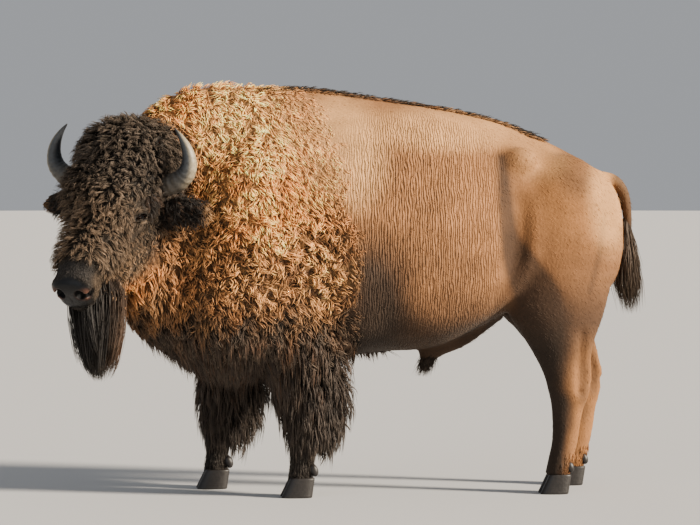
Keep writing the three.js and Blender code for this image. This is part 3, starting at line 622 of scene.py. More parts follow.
def surface_net(field, axes):
    """A closed mesh of quads: a point in each grid cell that the surface crosses."""
    shape = tuple(len(a) for a in axes)
    values = np.empty(shape, dtype=np.float32)
    plane = np.stack(np.meshgrid(axes[1], axes[2], indexing="ij")).reshape(2, -1)
    for i in range(0, shape[0], SLAB):
        xs = axes[0][i:i + SLAB]
        p = np.empty((3, len(xs) * plane.shape[1]))
        p[0] = np.repeat(xs, plane.shape[1])
        p[1:] = np.tile(plane, len(xs))
        values[i:i + SLAB] = field(p).reshape(len(xs), shape[1], shape[2])
    inside = values < 0
    cell = np.zeros(tuple(n - 1 for n in shape), dtype=np.int32)
    total = np.zeros((3,) + cell.shape, dtype=np.float32)
    crossings = np.zeros(cell.shape, dtype=np.int16)
    part = [slice(None, -1), slice(1, None)]
    for k in range(3):
        others = [n for n in range(3) if n != k]
        for a in (0, 1):
            for b in (0, 1):
                lower = [None] * 3
                lower[k], lower[others[0]], lower[others[1]] = part[0], part[a], part[b]
                upper = list(lower)
                upper[k] = part[1]
                lower, upper = tuple(lower), tuple(upper)
                crossed = inside[lower] != inside[upper]
                v0, v1 = values[lower], values[upper]
                t = np.where(crossed, v0 / np.where(crossed, v0 - v1, 1), 0)
                total[k] += t
                total[others[0]] += crossed * a
                total[others[1]] += crossed * b
                crossings += crossed
    used = np.nonzero(crossings)
    cell[used] = np.arange(len(used[0]))
    share = [total[k][used] / crossings[used] for k in range(3)]
    lows = [axes[k][used[k]] for k in range(3)]
    highs = [axes[k][used[k] + 1] for k in range(3)]
    points = np.stack([lows[k] + share[k] * (highs[k] - lows[k]) for k in range(3)])
    quads = []
    for k in range(3):
        u, w = (k + 1) % 3, (k + 2) % 3
        lower, upper = [slice(None)] * 3, [slice(None)] * 3
        lower[k], upper[k] = part
        here, there = inside[tuple(lower)], inside[tuple(upper)]
        at = np.stack(np.nonzero(here != there))
        keep = (at[u] > 0) & (at[w] > 0) & (at[u] < shape[u] - 1) & (at[w] < shape[w] - 1)
        at = at[:, keep]
        ring = []
        for du, dw in ((1, 1), (0, 1), (0, 0), (1, 0)):
            spot = at.copy()
            spot[u] -= du
            spot[w] -= dw
            ring.append(cell[tuple(spot)])
        ring = np.stack(ring, axis=1)
        out = here[tuple(at)]
        quads.append(np.where(out[:, None], ring, ring[:, ::-1]))
    return points, np.concatenate(quads)


def mesh_of(name, points, faces):
    """A mesh from frame coordinates; faces is one array, or a list of arrays of equal corners."""
    faces = faces if isinstance(faces, list) else [faces]
    mesh = bpy.data.meshes.new(name)
    mesh.vertices.add(len(points))
    mesh.vertices.foreach_set("co", np.ascontiguousarray(points, dtype=np.float32).ravel())
    corners = np.concatenate([f.ravel() for f in faces]).astype(np.int32)
    counts = np.concatenate([np.full(len(f), f.shape[1]) for f in faces])
    mesh.loops.add(len(corners))
    mesh.loops.foreach_set("vertex_index", corners)
    mesh.polygons.add(len(counts))
    starts = np.concatenate([[0], np.cumsum(counts)[:-1]]).astype(np.int32)
    mesh.polygons.foreach_set("loop_start", starts)
    mesh.update(calc_edges=True)
    mesh.polygons.foreach_set("use_smooth", np.ones(len(counts), dtype=bool))
    return mesh


grid = (
    planes(-1345, 1312, -1345, -700),
    planes(-632, 425, -625, 30),
    planes(64, 1815, 810, 1430),
)
hide_points, hide_faces = surface_net(skin_surface, grid)
hide_points = settle(skin_surface, hide_points, times=2)


def refine(mesh, chosen):
    """Splits every edge of the chosen faces in two."""
    bm = bmesh.new()
    bm.from_mesh(mesh)
    bm.faces.ensure_lookup_table()
    edges = {e for i in np.flatnonzero(chosen) for e in bm.faces[i].edges}
    bmesh.ops.subdivide_edges(bm, edges=list(edges), cuts=1, use_grid_fill=True)
    bm.to_mesh(mesh)
    bm.free()
    mesh.update()


def values_of(items, name, width=1, kind=np.float32):
    """One property of all vertices, corners or faces of a mesh."""
    flat = np.empty(len(items) * width, dtype=kind)
    items.foreach_get(name, flat)
    return flat if width == 1 else flat.reshape(-1, width)


def from_frame(points):
    return points.astype(float) * 1000 - np.array(SHIFT)


def points_of(mesh):
    return from_frame(values_of(mesh.vertices, "co", 3))


def centres_of(mesh):
    return from_frame(values_of(mesh.polygons, "center", 3)).T


def within(q, middle, reach):
    """True for the points in a box round the middle, on both sides alike."""
    q = both_sides(q)
    return np.all([np.abs(q[k] - middle[k]) < reach[k] for k in range(3)], axis=0)


hide_mesh = mesh_of("hide", to_frame(hide_points.T), hide_faces)
face_at = in_face(centres_of(hide_mesh))
ear_at = in_ear(centres_of(hide_mesh))
near_eye = within(face_at, (166, 165, 5), (60, 50, 60))
near_mouth = (face_at[0] > 440) & (np.abs(face_at[1]) < 105) & (face_at[2] > -175)
in_ears = (ear_at[2] > 190) & (np.abs(ear_at[0] + 92) < 66) & (np.abs(ear_at[1] + 64) < 50)
refine(hide_mesh, near_eye | near_mouth | in_ears)
face_at = in_face(centres_of(hide_mesh))
refine(hide_mesh, within(face_at, (166, 172, 8), (42, 34, 42)))
hide_points = settle(skin_surface, points_of(hide_mesh).T, times=3)
hide_mesh.vertices.foreach_set("co", to_frame(hide_points.T).astype(np.float32).ravel())
hide_mesh.update()
hide_mesh.polygons.foreach_set("use_smooth", np.ones(len(hide_mesh.polygons), dtype=bool))
hide = placed("hide", hide_mesh)

# ------------------------------------------------------------------ colours of hide and coat
# The markings are one function of place, so that the hide and every tuft on it agree: golden
# wool on the forequarters, a tan short coat behind, near black on head, chaps and brisket.


def paint(red, green, blue):
    """A colour by its screen values, as the light it gives back."""
    return np.array([((v / 255 + 0.055) / 1.055) ** 2.4 for v in (red, green, blue)])


TAN, PALE_TAN, RUMP_TAN = paint(148, 102, 64), paint(220, 166, 110), paint(164, 112, 66)
GOLD, PALE_GOLD, BROWN = paint(216, 146, 82), paint(236, 180, 116), paint(82, 60, 44)
DARK, NEAR_BLACK, SOOT = paint(46, 38, 32), paint(54, 49, 45), paint(23, 21, 21)
EYE_TAN, CHEEK = paint(68, 57, 47), paint(96, 79, 62)
NOSE_BLACK, NOSTRIL_RIM = paint(8, 8, 12), paint(112, 72, 56)
SHED_BROWN, NOSE_BRIDGE, LOWER_LID = paint(146, 100, 62), paint(78, 66, 54), paint(116, 96, 76)
MUZZLE_SHEEN_GREY = paint(66, 63, 62)

WAVE_COUNT, FULL_TURN = 8, 6.28
wobble = np.random.default_rng(41)
WAVES = wobble.normal(size=(WAVE_COUNT, 3))
WAVES /= np.linalg.norm(WAVES, axis=1)[:, None]
PHASES = wobble.uniform(0, FULL_TURN, WAVE_COUNT)


def mottle(p, size, first=0):
    """A smooth random field between about -1 and 1, with blotches of a given size."""
    value = 0
    for n in range(first, first + 4):
        wave = WAVES[n % WAVE_COUNT] * (1 + 0.37 * (n % 3))
        way = p[0] * wave[0] + p[1] * wave[1] + p[2] * wave[2]
        value = value + np.sin(way * FULL_TURN / (size * 2) + PHASES[n % WAVE_COUNT])
    return value / 2.6


def tint(colors, color, share):
    return colors + (color - colors) * np.clip(share, 0, 1)[:, None]


def painted(colors, coats):
    """The colours with coats of other colours laid over them, each with its share."""
    for color, share in coats:
        colors = tint(colors, color, share)
    return colors


def spot(p, at, radii):
    reach = np.sqrt(sum(((p[k] - at[k]) / radii[k]) ** 2 for k in range(3)))
    return 1 - smooth(reach, 0.45, 1.15)


ANY = 5000.0  # a radius that leaves a spot open from side to side


def shed_wool(p):
    """1 where the winter's wool hangs on the shoulder in pale clumps."""
    shoulder = spot(p, (-170, 0, 1010), (190, ANY, 240))
    return np.maximum(shoulder, spot(p, (-440, 0, 960), (180, ANY, 150)))


def clumps(p):
    return smooth(mottle(p, 30, 1), -0.45, 0.4)


# seen from the side: painted shade over darker hair in flank hollow and stifle, and in the ham's
# groove
FLANK_SHADE = [
    (640, 0, 1470, 26, 26), (650, 0, 1290, 38, 38), (668, 0, 1120, 52, 52),
    (728, 0, 985, 84, 84), (790, 0, 880, 96, 96), (830, 0, 750, 100, 100),
]
HAM_SHADE = [(1091, 0, 1217, 7, 7), (1068, 0, 1063, 9, 9), (1024, 0, 890, 8, 8)]


def body_markings(p):
    """The short coat's colours on trunk, hind legs and tail, with painted shade and painted light.
    """
    x, y, z = p
    off_middle = np.abs(y)
    wavy = mottle(p, 120)
    from_side = np.stack([x, 0 * y, z])
    off_spine = smooth(off_middle, 90, 130)
    shade = 1 - smooth(limb(from_side, eased(FLANK_SHADE), 0), -24, 20)
    groove = 1 - smooth(limb(from_side, eased(HAM_SHADE), 0), -4, 14)
    hock = 1 - smooth(z, 380, 480)
    leaning = x - 0.12 * z
    shaded_leg_front = 1 - smooth(leaning, 800 + 80 * hock, 885 + 60 * hock)
    lit_leg_back = smooth(leaning, 840 + 40 * hock, 930 + 20 * hock)
    on_legs = []
    for leg_x, side in ((0, -1), (HIND_STRIDE, 1)):
        on_leg = y * side > 0
        point_of_hock = spot(p, (1008 + leg_x * 0.85, 0, 490), (32, ANY, 130))
        # painted shade on the outer side of the cannon, below the hock
        shaded_cannon = spot(p, (944 + leg_x, 0, 340), (28, ANY, 80))
        on_legs += [(BROWN, 0.5 * on_leg * point_of_hock), (BROWN, 0.45 * on_leg * shaded_cannon)]
    return painted(np.tile(TAN, (p.shape[1], 1)), [
        (PALE_TAN, 0.9 * spot(p, (-70, 0, 1490), (230, ANY, 300))),
        # painted light along the top of the loin
        (PALE_TAN, 0.6 * spot(p, (420, 0, 1600), (460, ANY, 120))),
        (RUMP_TAN, spot(p, (1010, 0, 1330), (330, ANY, 300))),
        (BROWN, 0.3 * spot(p, (300, 0, 900), (420, ANY, 240))),
        # painted shade in the flank hollow and stifle, over darker hair, and along the ham's groove
        (DARK, 0.8 * shade * off_spine),
        (BROWN, 0.5 * groove * off_spine),
        (BROWN, 0.5 * spot(p, (968, 0, 1420), (120, ANY, 150))),
        # painted highlight on the top of the hip
        (PALE_TAN, 0.35 * spot(p, (810, 0, 1470), (150, ANY, 120))),
        # painted rim of light on the back of the rump
        (PALE_TAN, 0.6 * spot(p, (1130, 0, 1280), (130, ANY, 260))),
        # painted shadow behind the elbow
        (DARK, 0.92 * spot(p, (30, 0, 800), (240, ANY, 400))),
        (DARK, 0.9 * (1 - smooth(z + 14 * wavy - 0.1 * x, 650, 900)) * (x < 900)),
        (BROWN, 0.95 * (1 - smooth(z, 740, 1060)) * smooth(x, 600, 760)),
        # painted shade on the hind legs' fronts, and painted light on their backs
        (DARK, 0.9 * (1 - smooth(z, 620, 960)) * shaded_leg_front * (x > 600)),
        (RUMP_TAN, 0.85 * (1 - smooth(z, 500, 760)) * lit_leg_back),
        *on_legs,
        # tail and spine
        (DARK, 0.75 * smooth(x, 1140, 1190) * (off_middle < 46)),
        (DARK, 0.8 * (x > 1190) * (off_middle < 40) * (1 - smooth(z, 1120, 1240))),
        (DARK, 0.85 * (1 - smooth(off_middle + 10 * wavy, 26, 74)) * smooth(z, 1480, 1560)
         * (x < 830)),
    ])


def wool_markings(p):
    """Golden on hump and shoulder, brown lower down and near black under the chest."""
    x, z = p[0], p[2]
    wavy = mottle(p, 120)
    shed, clump = shed_wool(p), clumps(p)
    low = 1 - smooth(z + 50 * mottle(p, 70, 3), 680, 920)
    return painted(np.tile(GOLD, (p.shape[1], 1)), [
        (PALE_GOLD, 0.85 * spot(p, (-430, 0, 1640), (300, ANY, 260))),
        (PALE_GOLD, 0.3 + 0.35 * wavy),
        (BROWN, 0.3 * spot(p, (-700, 0, 1230), (220, ANY, 360))),
        (BROWN, 0.75 * (1 - smooth(z + 0.2 * x + 60 * wavy, 850, 1110))),
        (SHED_BROWN, 0.62 * shed),
        (BROWN, 0.8 * shed * (1 - clump)),
        (PALE_GOLD, 0.45 * shed * clump),
        (PALE_TAN, 0.6 * smooth(x, -330, -180) * smooth(z, 1250, 1450)),
        (BROWN, 0.5 * spot(p, (-60, 0, 1200), (110, ANY, 200))),
        (NEAR_BLACK, 0.97 * low * (1 - smooth(x, 60, 160))),
    ])


def head_markings(face):
    """Near black, with brown cheeks, a tan ring round the eye, dark lids, a black nose, and a
    painted sheen on the muzzle's top.
    """
    mirrored = both_sides(face)
    down, out = face[0], face[2]
    eye = in_eye(mirrored)
    over, under = eye[2] + 0.004 * eye[1] ** 2, eye[2] - 0.008 * eye[1] ** 2
    by_lids = (np.abs(eye[1]) < 44) * (eye[0] > 0)
    slot = np.hypot(eye[1] / 38, (eye[2] + 1) / 17)
    jaw = smooth(-out, 150, 260) * smooth(down, 60, 180) * (1 - smooth(down, 380, 460))
    return painted(np.tile(NEAR_BLACK, (face.shape[1], 1)), [
        (NOSE_BRIDGE, 0.6 * smooth(down, 40, 240) * (1 - smooth(down, 430, 500))),
        (CHEEK, 0.9 * spot(mirrored, (330, 120, -150), (170, 80, 120))),
        (GOLD, 0.55 * jaw),
        (EYE_TAN, 0.95 * spot(mirrored, (160, 168, 6), (80, 64, 72))),
        (EYE_TAN, 0.8 * spot(mirrored, (240, 150, -30), (90, 60, 56))),
        (LOWER_LID, 0.8 * by_lids * (1 - smooth(np.abs(under + 22), 3, 7))),
        (SOOT, 0.9 * by_lids * (1 - smooth(slot, 0.9, 1.1))),
        (SOOT, 0.5 * by_lids * (1 - smooth(np.abs(over - 17), 3, 8))),
        (CHEEK, 0.8 * spot(mirrored, (500, 98, -60), (70, 40, 80))),
        # painted sheen on the top of the muzzle
        (MUZZLE_SHEEN_GREY, 0.7 * spot(mirrored, (496, 0, 30), (56, 90, 60))),
        (NOSE_BLACK, bare_nose(face)),
        (NOSTRIL_RIM, 0.8 * spot(mirrored, (576, 62, -26), (40, 42, 36))),
        (NOSE_BLACK, smooth(-union_of(face, BARE_HEAD), 1.5, 6) * (down > 525)),
    ])


def markings(p):
    """The colour of hide and coat at each place."""
    x, z = p[0], p[2]
    colors, wool = body_markings(p), wool_markings(p)
    colors = colors + (wool - colors) * cape(p)[:, None]
    colors = tint(colors, NEAR_BLACK, (1 - smooth(z, 500, 640)) * (x < 250))
    face = in_face(p)
    by_eye = np.minimum(1, 2 * spot(both_sides(face), (180, 172, -4), (92, 76, 84)))
    on_head = np.maximum(1 - smooth(coat_distance_to_head(p), 5, 90), by_eye * (x < -700))
    return colors + (head_markings(face) - colors) * on_head[:, None]


def bare_nose(face):
    """1 on the naked skin between and round the nostrils."""
    side = np.abs(face[1])
    return smooth(face[0] - 0.25 * side, 520, 548) * (1 - smooth(-face[2], 108, 122))


def coat_distance_to_head(p):
    d = np.full(p.shape[1], 500.0)
    near = np.flatnonzero(p[0] < -500)
    if near.size:
        q = p[:, near]
        d[near] = np.minimum(woolly_head(q), limb(in_ear(q), EAR, 0) - 10)
    return d


def add_colors(mesh, name, colors):
    layer = mesh.color_attributes.new(name, "FLOAT_COLOR", "POINT")
    rgba = np.ones((len(colors), 4), dtype=np.float32)
    rgba[:, :3] = colors
    layer.data.foreach_set("color", rgba.ravel())


def add_values(mesh, name, values):
    layer = mesh.attributes.new(name, "FLOAT", "POINT")
    layer.data.foreach_set("value", np.ascontiguousarray(values, dtype=np.float32))


hide_face = in_face(hide_points)
under_mop = (coat_distance_to_head(hide_points) < -12) * (hide_face[0] < 440)
under_wool = np.maximum(cape(hide_points), under_mop)
by_eye = spot(both_sides(hide_face), (176, 172, 2), (84, 70, 76))
under_wool *= (1 - bare_nose(hide_face)) * (1 - by_eye * (hide_points[0] < -700))
# the hide is darkened where wool or mop grows over it: painted shade
hide_colors = markings(hide_points) * (0.95 * (1 - 0.35 * under_wool))[:, None]
add_colors(hide_mesh, "coat_color", hide_colors)
naked = bare_nose(hide_face) * (hide_points[0] < -800)
naked *= 1 - smooth(-union_of(hide_face, BARE_HEAD), 2, 8)
add_values(hide_mesh, "naked", naked)
flank = spot(hide_points, (300, 0, 1130), (470, ANY, 640)) * (1 - cape(hide_points))
flank = flank * smooth(np.abs(hide_points[1]), 90, 200)
add_values(hide_mesh, "woolly", under_wool)
add_values(hide_mesh, "wrinkled", flank * (1 - smooth(hide_points[0], 600, 680)))


def add_node(tree, kind, inputs, operation=None):
    """A new shader node with its inputs set."""
    made = tree.nodes.new(f"ShaderNode{kind}")
    if operation:
        made.operation = operation
    plug(tree, made, inputs)
    return made


def ranged(tree, value, low, high, start=0.0, end=1.0):
    """The value's range from start to end, spread from low to high."""
    return add_node(tree, "MapRange", {
        "Value": value, "From Min": start, "From Max": end, "To Min": low, "To Max": high,
    }).outputs["Result"]


def product(tree, a, b):
    return add_node(tree, "Math", {0: a, 1: b}, "MULTIPLY").outputs["Value"]


def mesh_value(tree, name):
    made = add_node(tree, "Attribute", {})
    made.attribute_name = name
    return made


def bumped(tree, shader, bumps):
    """A chain of bumps, each on the normal of the one before: height, distance, strength."""
    normal = {}
    for height, distance, strength in bumps:
        bump = add_node(
            tree, "Bump", {"Height": height, "Distance": distance, "Strength": strength, **normal}
        )
        normal = {"Normal": bump.outputs["Normal"]}
    plug(tree, shader, normal)


def shaded_color(tree, shade, color_name="coat_color"):
    """The mesh's own colours, lightened and darkened by a value."""
    own = mesh_value(tree, color_name).outputs["Color"]
    return add_node(tree, "VectorMath", {0: own, "Scale": shade}, "SCALE").outputs["Vector"]


def hair_grain():
    """Fine uneven hair: a height, and how much it lightens or darkens the colour."""
    group = bpy.data.node_groups.new("hair_grain", "ShaderNodeTree")
    for name, way, kind in (
        ("Size", "INPUT", "Float"), ("Stretch", "INPUT", "Vector"),
        ("Height", "OUTPUT", "Float"), ("Shade", "OUTPUT", "Float"),
    ):
        group.interface.new_socket(name, in_out=way, socket_type=f"NodeSocket{kind}")
    given, result = group.nodes.new("NodeGroupInput"), group.nodes.new("NodeGroupOutput")
    place = add_node(group, "TexCoord", {}).outputs["Object"]
    stretched = add_node(group, "VectorMath", {0: place, 1: given.outputs["Stretch"]}, "MULTIPLY")
    hairs = add_node(group, "TexNoise", {
        "Vector": stretched.outputs["Vector"], "Scale": given.outputs["Size"], "Detail": 4,
    }).outputs["Fac"]
    patches = add_node(group, "TexNoise", {"Vector": place, "Scale": 9, "Detail": 3}).outputs["Fac"]
    both = add_node(group, "Math", {0: hairs, 1: 0.7, 2: patches}, "MULTIPLY_ADD").outputs["Value"]
    plug(group, result, {"Height": hairs, "Shade": ranged(group, both, 0.72, 1.25, 0.5, 1.15)})
    return group


hair_grain_group = hair_grain()


def add_grain(tree, size, stretch):
    grain = add_node(tree, "Group", {})
    grain.node_tree = hair_grain_group
    plug(tree, grain, {"Size": size, "Stretch": stretch})
    return grain


def hide_material():
    material, tree, shader = blank_material("short_coat_on_hide")
    grain = add_grain(tree, 260, (0.35, 1.0, 0.28))
    wrinkled, naked_skin, woolly = (
        mesh_value(tree, name).outputs["Fac"] for name in ("wrinkled", "naked", "woolly")
    )
    place = add_node(tree, "TexCoord", {}).outputs["Object"]
    # upright wrinkles a finger apart, that wander and break
    squashed = add_node(tree, "VectorMath", {0: place, 1: (1.0, 0.5, 0.22)}, "MULTIPLY")
    wave = add_node(tree, "TexWave", {
        "Vector": squashed.outputs["Vector"], "Scale": 29, "Distortion": 9,
        "Detail": 2.5, "Detail Scale": 1.6,
    })
    wave.bands_direction = "X"
    fold = product(tree, wave.outputs["Fac"], wrinkled)
    # the pitted skin of the nose
    pits = add_node(tree, "TexVoronoi", {"Vector": place, "Scale": 260}).outputs["Distance"]
    # tight curls that show between the locks of wool
    curls = add_node(tree, "TexNoise", {
        "Vector": place, "Scale": 48, "Detail": 5, "Distortion": 1.4,
    }).outputs["Fac"]
    # the curls' colour is darker in their hollows and lighter on their tops: painted shade and
    # light
    curl_shade = ranged(tree, curls, 0.3, 1.5, 0.35, 0.68)
    curl_mix = add_node(tree, "Mix", {0: woolly, 2: 1.0, 3: curl_shade}).outputs[0]
    hairy = add_node(tree, "Math", {0: naked_skin, 1: -1, 2: 1}, "MULTIPLY_ADD").outputs["Value"]
    bumped(tree, shader, (
        (product(tree, grain.outputs["Height"], hairy), 0.004, 0.55),
        (fold, 0.008, 0.7),
        (product(tree, pits, naked_skin), 0.0016, 0.8),
        (product(tree, curls, woolly), 0.022, 0.9),
    ))
    # the colour is darker in the wrinkles' troughs and lighter on their ridges: painted shade and
    # light
    shade = product(tree, grain.outputs["Shade"], ranged(tree, fold, 0.8, 1.25))
    plug(tree, shader, {
        "Base Color": shaded_color(tree, product(tree, shade, curl_mix)),
        "Roughness": ranged(tree, naked_skin, 0.74, 0.3),
        "Coat Weight": product(tree, naked_skin, 0.25),
        "Coat Roughness": 0.2,
        "Specular IOR Level": 0.15,
        "Sheen Weight": 0.04,
        "Sheen Roughness": 0.5,
        "Sheen Tint": (0.9, 0.75, 0.6, 1),
    })
    return material


hide_mesh.materials.append(hide_material())
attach(hide, "root")
flesh_nodes = [
    "crown", "face", "muzzle", "chin", "beard", "neck", "shoulders", "barrel", "rump", "sheath",
    "tail", "ear_left", "ear_right", "foreleg_left", "foreleg_right", "thigh_left", "thigh_right",
    "shank_left", "shank_right", "pastern_fore_left", "pastern_fore_right",
    "pastern_hind_left", "pastern_hind_right",
]
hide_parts(*flesh_nodes)

# ------------------------------------------------------------------ how the coat is grown
# Every tuft is a thin, closed, three-sided spike rooted in the hide. It leaves the hide at an
# angle, bends over along the lie of the coat and tapers to a point. Tufts that share a lock
# lean together at their tips. Roots are scattered over the hide with a fixed seed.

hide_mesh.calc_loop_triangles()
triangles = values_of(hide_mesh.loop_triangles, "vertices", 3, np.int32)
corner_points = points_of(hide_mesh)[triangles]
tri_middle = corner_points.mean(axis=1).T
tri_edges = corner_points[:, 1:] - corner_points[:, :1]
tri_cross = np.cross(tri_edges[:, 0], tri_edges[:, 1])
tri_area = np.linalg.norm(tri_cross, axis=1) / 2
tri_normal = (tri_cross / np.maximum(2 * tri_area, 1e-9)[:, None]).T


def part_of(p):
    """Which limb a point belongs to, so that each limb is unwrapped by itself."""
    face = in_face(p)
    part = np.zeros(p.shape[1], dtype=np.int32)
    part[(p[0] < -700) & (face[2] > -280) & (face[0] > -260)] = 1
    low = p[2] < 620
    part[low & (p[0] < 300) & (p[1] < 0)] = 2
    part[low & (p[0] < 300) & (p[1] >= 0)] = 3
    part[(p[2] < 780) & (p[0] >= 650) & (p[1] < 0)] = 4
    part[(p[2] < 780) & (p[0] >= 650) & (p[1] >= 0)] = 5
    return part


def facing(n):
    """0 to 5: along which axis, and which way, a normal mostly points."""
    axis = np.argmax(np.abs(n), axis=0)
    return axis * 2 + (n[axis, np.arange(n.shape[1])] > 0)


CHARTS = 36  # six parts of the body, and six directions for each
chart_of_triangle = part_of(tri_middle) * 6 + facing(tri_normal)


def flat_place(p, chart):
    """Where a point falls in its own chart, before the charts are set out."""
    axis = (chart % 6) // 2
    u = np.where(axis == 0, p[1], p[0])
    v = np.where(axis == 2, p[1], p[2])
    return np.stack([u, v])


charts = []
for chart in range(CHARTS):
    chosen = corner_points[chart_of_triangle == chart].reshape(-1, 3).T
    if chosen.shape[1]:
        spots = flat_place(chosen, np.full(chosen.shape[1], chart))
        charts.append((chart, spots.min(axis=1), np.ptp(spots, axis=1)))
CHART_GAP = 25.0
charts.sort(key=lambda c: -c[2][1])
sheet_area = sum((c[2][0] + CHART_GAP) * (c[2][1] + CHART_GAP) for c in charts)
sheet_width = 1.08 * math.sqrt(sheet_area)
chart_low, chart_at = np.zeros((CHARTS, 2)), np.zeros((CHARTS, 2))
across, shelf, shelf_height = 0.0, 0.0, 0.0
for chart, low, extent in charts:
    if across and across + extent[0] > sheet_width:
        across, shelf, shelf_height = 0.0, shelf + shelf_height, 0.0
    chart_low[chart], chart_at[chart] = low, (across, shelf)
    across += extent[0] + CHART_GAP
    shelf_height = max(shelf_height, extent[1] + CHART_GAP)
sheet_size = max(sheet_width + 200, shelf + shelf_height)


SHEET_EDGE = 0.004


def unwrap(p, chart):
    """Place on the unwrapped hide, kept a little clear of the sheet's edges."""
    spot_on_sheet = flat_place(p, chart) - chart_low[chart].T + chart_at[chart].T
    return SHEET_EDGE + (1 - 2 * SHEET_EDGE) * np.clip(spot_on_sheet / sheet_size, 0, 1)


loop_order = values_of(hide_mesh.loops, "vertex_index", kind=np.int32)
loop_counts = values_of(hide_mesh.polygons, "loop_total", kind=np.int32)
face_normals = values_of(hide_mesh.polygons, "normal", 3).T
face_chart = np.repeat(part_of(centres_of(hide_mesh)) * 6 + facing(face_normals), loop_counts)
hide_uv = unwrap(points_of(hide_mesh).T[:, loop_order], face_chart)


def add_bake_map(mesh, uv):
    mesh.uv_layers.new(name="OFBake").data.foreach_set("uv", uv.astype(np.float32).ravel())


add_bake_map(hide_mesh, hide_uv.T)


def unit(v):
    return v / np.maximum(np.sqrt((v**2).sum(axis=0)), 1e-9)


SPARE_ROOTS = 2.2  # roots drawn for each that is kept
CELLS_ACROSS = 4001


def scatter(density, spacing, seed):
    """Roots about a spacing apart where the density, a function of place and normal, is 1."""
    rng = np.random.default_rng(seed)
    share = density(tri_middle, tri_normal) * tri_area / spacing**2 * SPARE_ROOTS
    count = np.floor(share + rng.random(len(share))).astype(int)
    chosen = np.repeat(np.arange(len(count)), count)
    a, b = rng.random((2, len(chosen)))
    over = a + b > 1
    a[over], b[over] = 1 - a[over], 1 - b[over]
    edges = tri_edges[chosen]
    p = corner_points[chosen, 0] + a[:, None] * edges[:, 0] + b[:, None] * edges[:, 1]
    cell = np.floor(p / (spacing * 0.92)).astype(np.int64)
    key = (cell[:, 0] * CELLS_ACROSS + cell[:, 1]) * CELLS_ACROSS + cell[:, 2]
    first = np.sort(np.unique(key, return_index=True)[1])
    chosen, p = chosen[first], p[first].T
    return p, tri_normal[:, chosen], chart_of_triangle[chosen]


def turn(v, axis, angle):
    """Turns vectors about unit axes."""
    return v * np.cos(angle) + np.cross(axis, v, axis=0) * np.sin(angle)


WHORL = face_point(-230, 0, -30)  # where the hair of the head spreads from


def lie(p, n):
    """The way the coat lies: back and down the body, down the limbs, out from the crown."""
    way = np.empty_like(p)
    front = cape(p)
    way[0] = 0.85 - 0.45 * front
    way[1] = 0
    way[2] = -0.5 - 0.5 * front - 0.2 * smooth(p[0], 700, 1000)
    low = (1 - smooth(p[2], 560, 760)) * ((p[0] > 700) | (p[0] < 150))
    way[0] -= way[0] * low * 0.85
    way[2] -= low
    neck = 1 - smooth(p[0], -900, -760)
    way[0] -= 0.35 * neck
    near = coat_distance_to_head(p)
    head = 1 - smooth(near, 0, 40)
    radial = unit(np.stack([p[k] - WHORL[k] for k in range(3)]))
    radial[2] -= 0.25
    face = in_face(p)
    down_face = smooth(face[0], 150, 330)
    on_nose = noseward[:, None] * 0.35 + left[:, None] * np.sign(face[1]) * 0.5
    on_nose[2] -= 0.8
    radial = radial * (1 - down_face) + down_face * on_nose
    way = way * (1 - head) + radial * head
    way -= n * (way * n).sum(axis=0)
    return unit(way)


def noise_turn(p, size, first=0):
    return mottle(p, size, first) + 0.6 * mottle(p, size * 0.43, first + 2)


BENT_OVER = 0.85  # how much of its first angle a lock loses on the way to its tip


def grow_paths(p, n, way, length, stand, steps, rng, curl=0.0, sag=0.0):
    """Points along each lock from its root: it stands off the hide, then bends over."""
    side = np.cross(n, way, axis=0)
    path = [p - n * np.minimum(3.0, 0.045 * length)]
    phase = rng.uniform(0, FULL_TURN, p.shape[1])
    turns = rng.uniform(2.2, 4.4, p.shape[1]) * np.sign(rng.random(p.shape[1]) - 0.5)
    for k in range(1, steps):
        t = k / (steps - 1)
        angle = stand * (1 - BENT_OVER * (t - 0.5 / (steps - 1)))
        twist = phase + turns * t
        step = way * np.cos(angle) + n * np.sin(angle)
        step = step + side * (curl * np.sin(twist)) + n * (curl * 0.6 * np.cos(twist))
        step[2] -= sag * t
        path.append(path[-1] + unit(step) * (length / (steps - 1)))
    return np.stack(path)


def pull(p, wanted, most):
    """Moves points along the slope of the coat's outer surface."""
    here, slope = slope_of(coat_surface, p, 3.0)
    steep = np.maximum((slope**2).sum(axis=0), 0.2)
    return p - slope * np.clip(here - wanted, *most) / steep


def fill_out(path, share):
    """Lifts each path so that its tip reaches a share of the way to the coat's outer surface."""
    deep = coat_surface(path[0])
    for k in range(1, len(path)):
        t = k / (len(path) - 1)
        path[k] = pull(path[k], deep * (1 - share * (1 - (1 - t) ** 1.7)), (-90, 90))
    return path


def keep_inside(path, most):
    """Draws the points of each path back to within a distance of the coat's outer surface."""
    for k in range(1, len(path)):
        path[k] = pull(path[k], most, (0, np.inf))
    return path


def locks(path, n, chart, colors, count, spread, rng, gather, ragged):
    """Splits each path into several spikes whose tips come together."""
    steps = len(path)
    path = np.repeat(path, count, axis=2)
    n, chart = np.repeat(n, count, axis=1), np.repeat(chart, count)
    reach = np.sqrt(rng.random(path.shape[2])) * spread
    around = rng.uniform(0, FULL_TURN, path.shape[2])
    a = unit(np.cross(n, np.array([[0.31], [0.52], [0.79]]), axis=0))
    b = np.cross(n, a, axis=0)
    offset = (a * np.cos(around) + b * np.sin(around)) * reach
    shorter = 1 - ragged * rng.random(path.shape[2])
    root = path[0].copy()
    for k in range(steps):
        t = k / (steps - 1)
        path[k] = root + (path[k] - root) * shorter + offset * (1 - gather * t)
    return path, n, chart, np.repeat(colors, count, axis=0)


PATCH = 0.003  # width of each spike's own patch on the unwrapped hide
THREE_CORNERS = (0.5236, 2.618, 4.712)


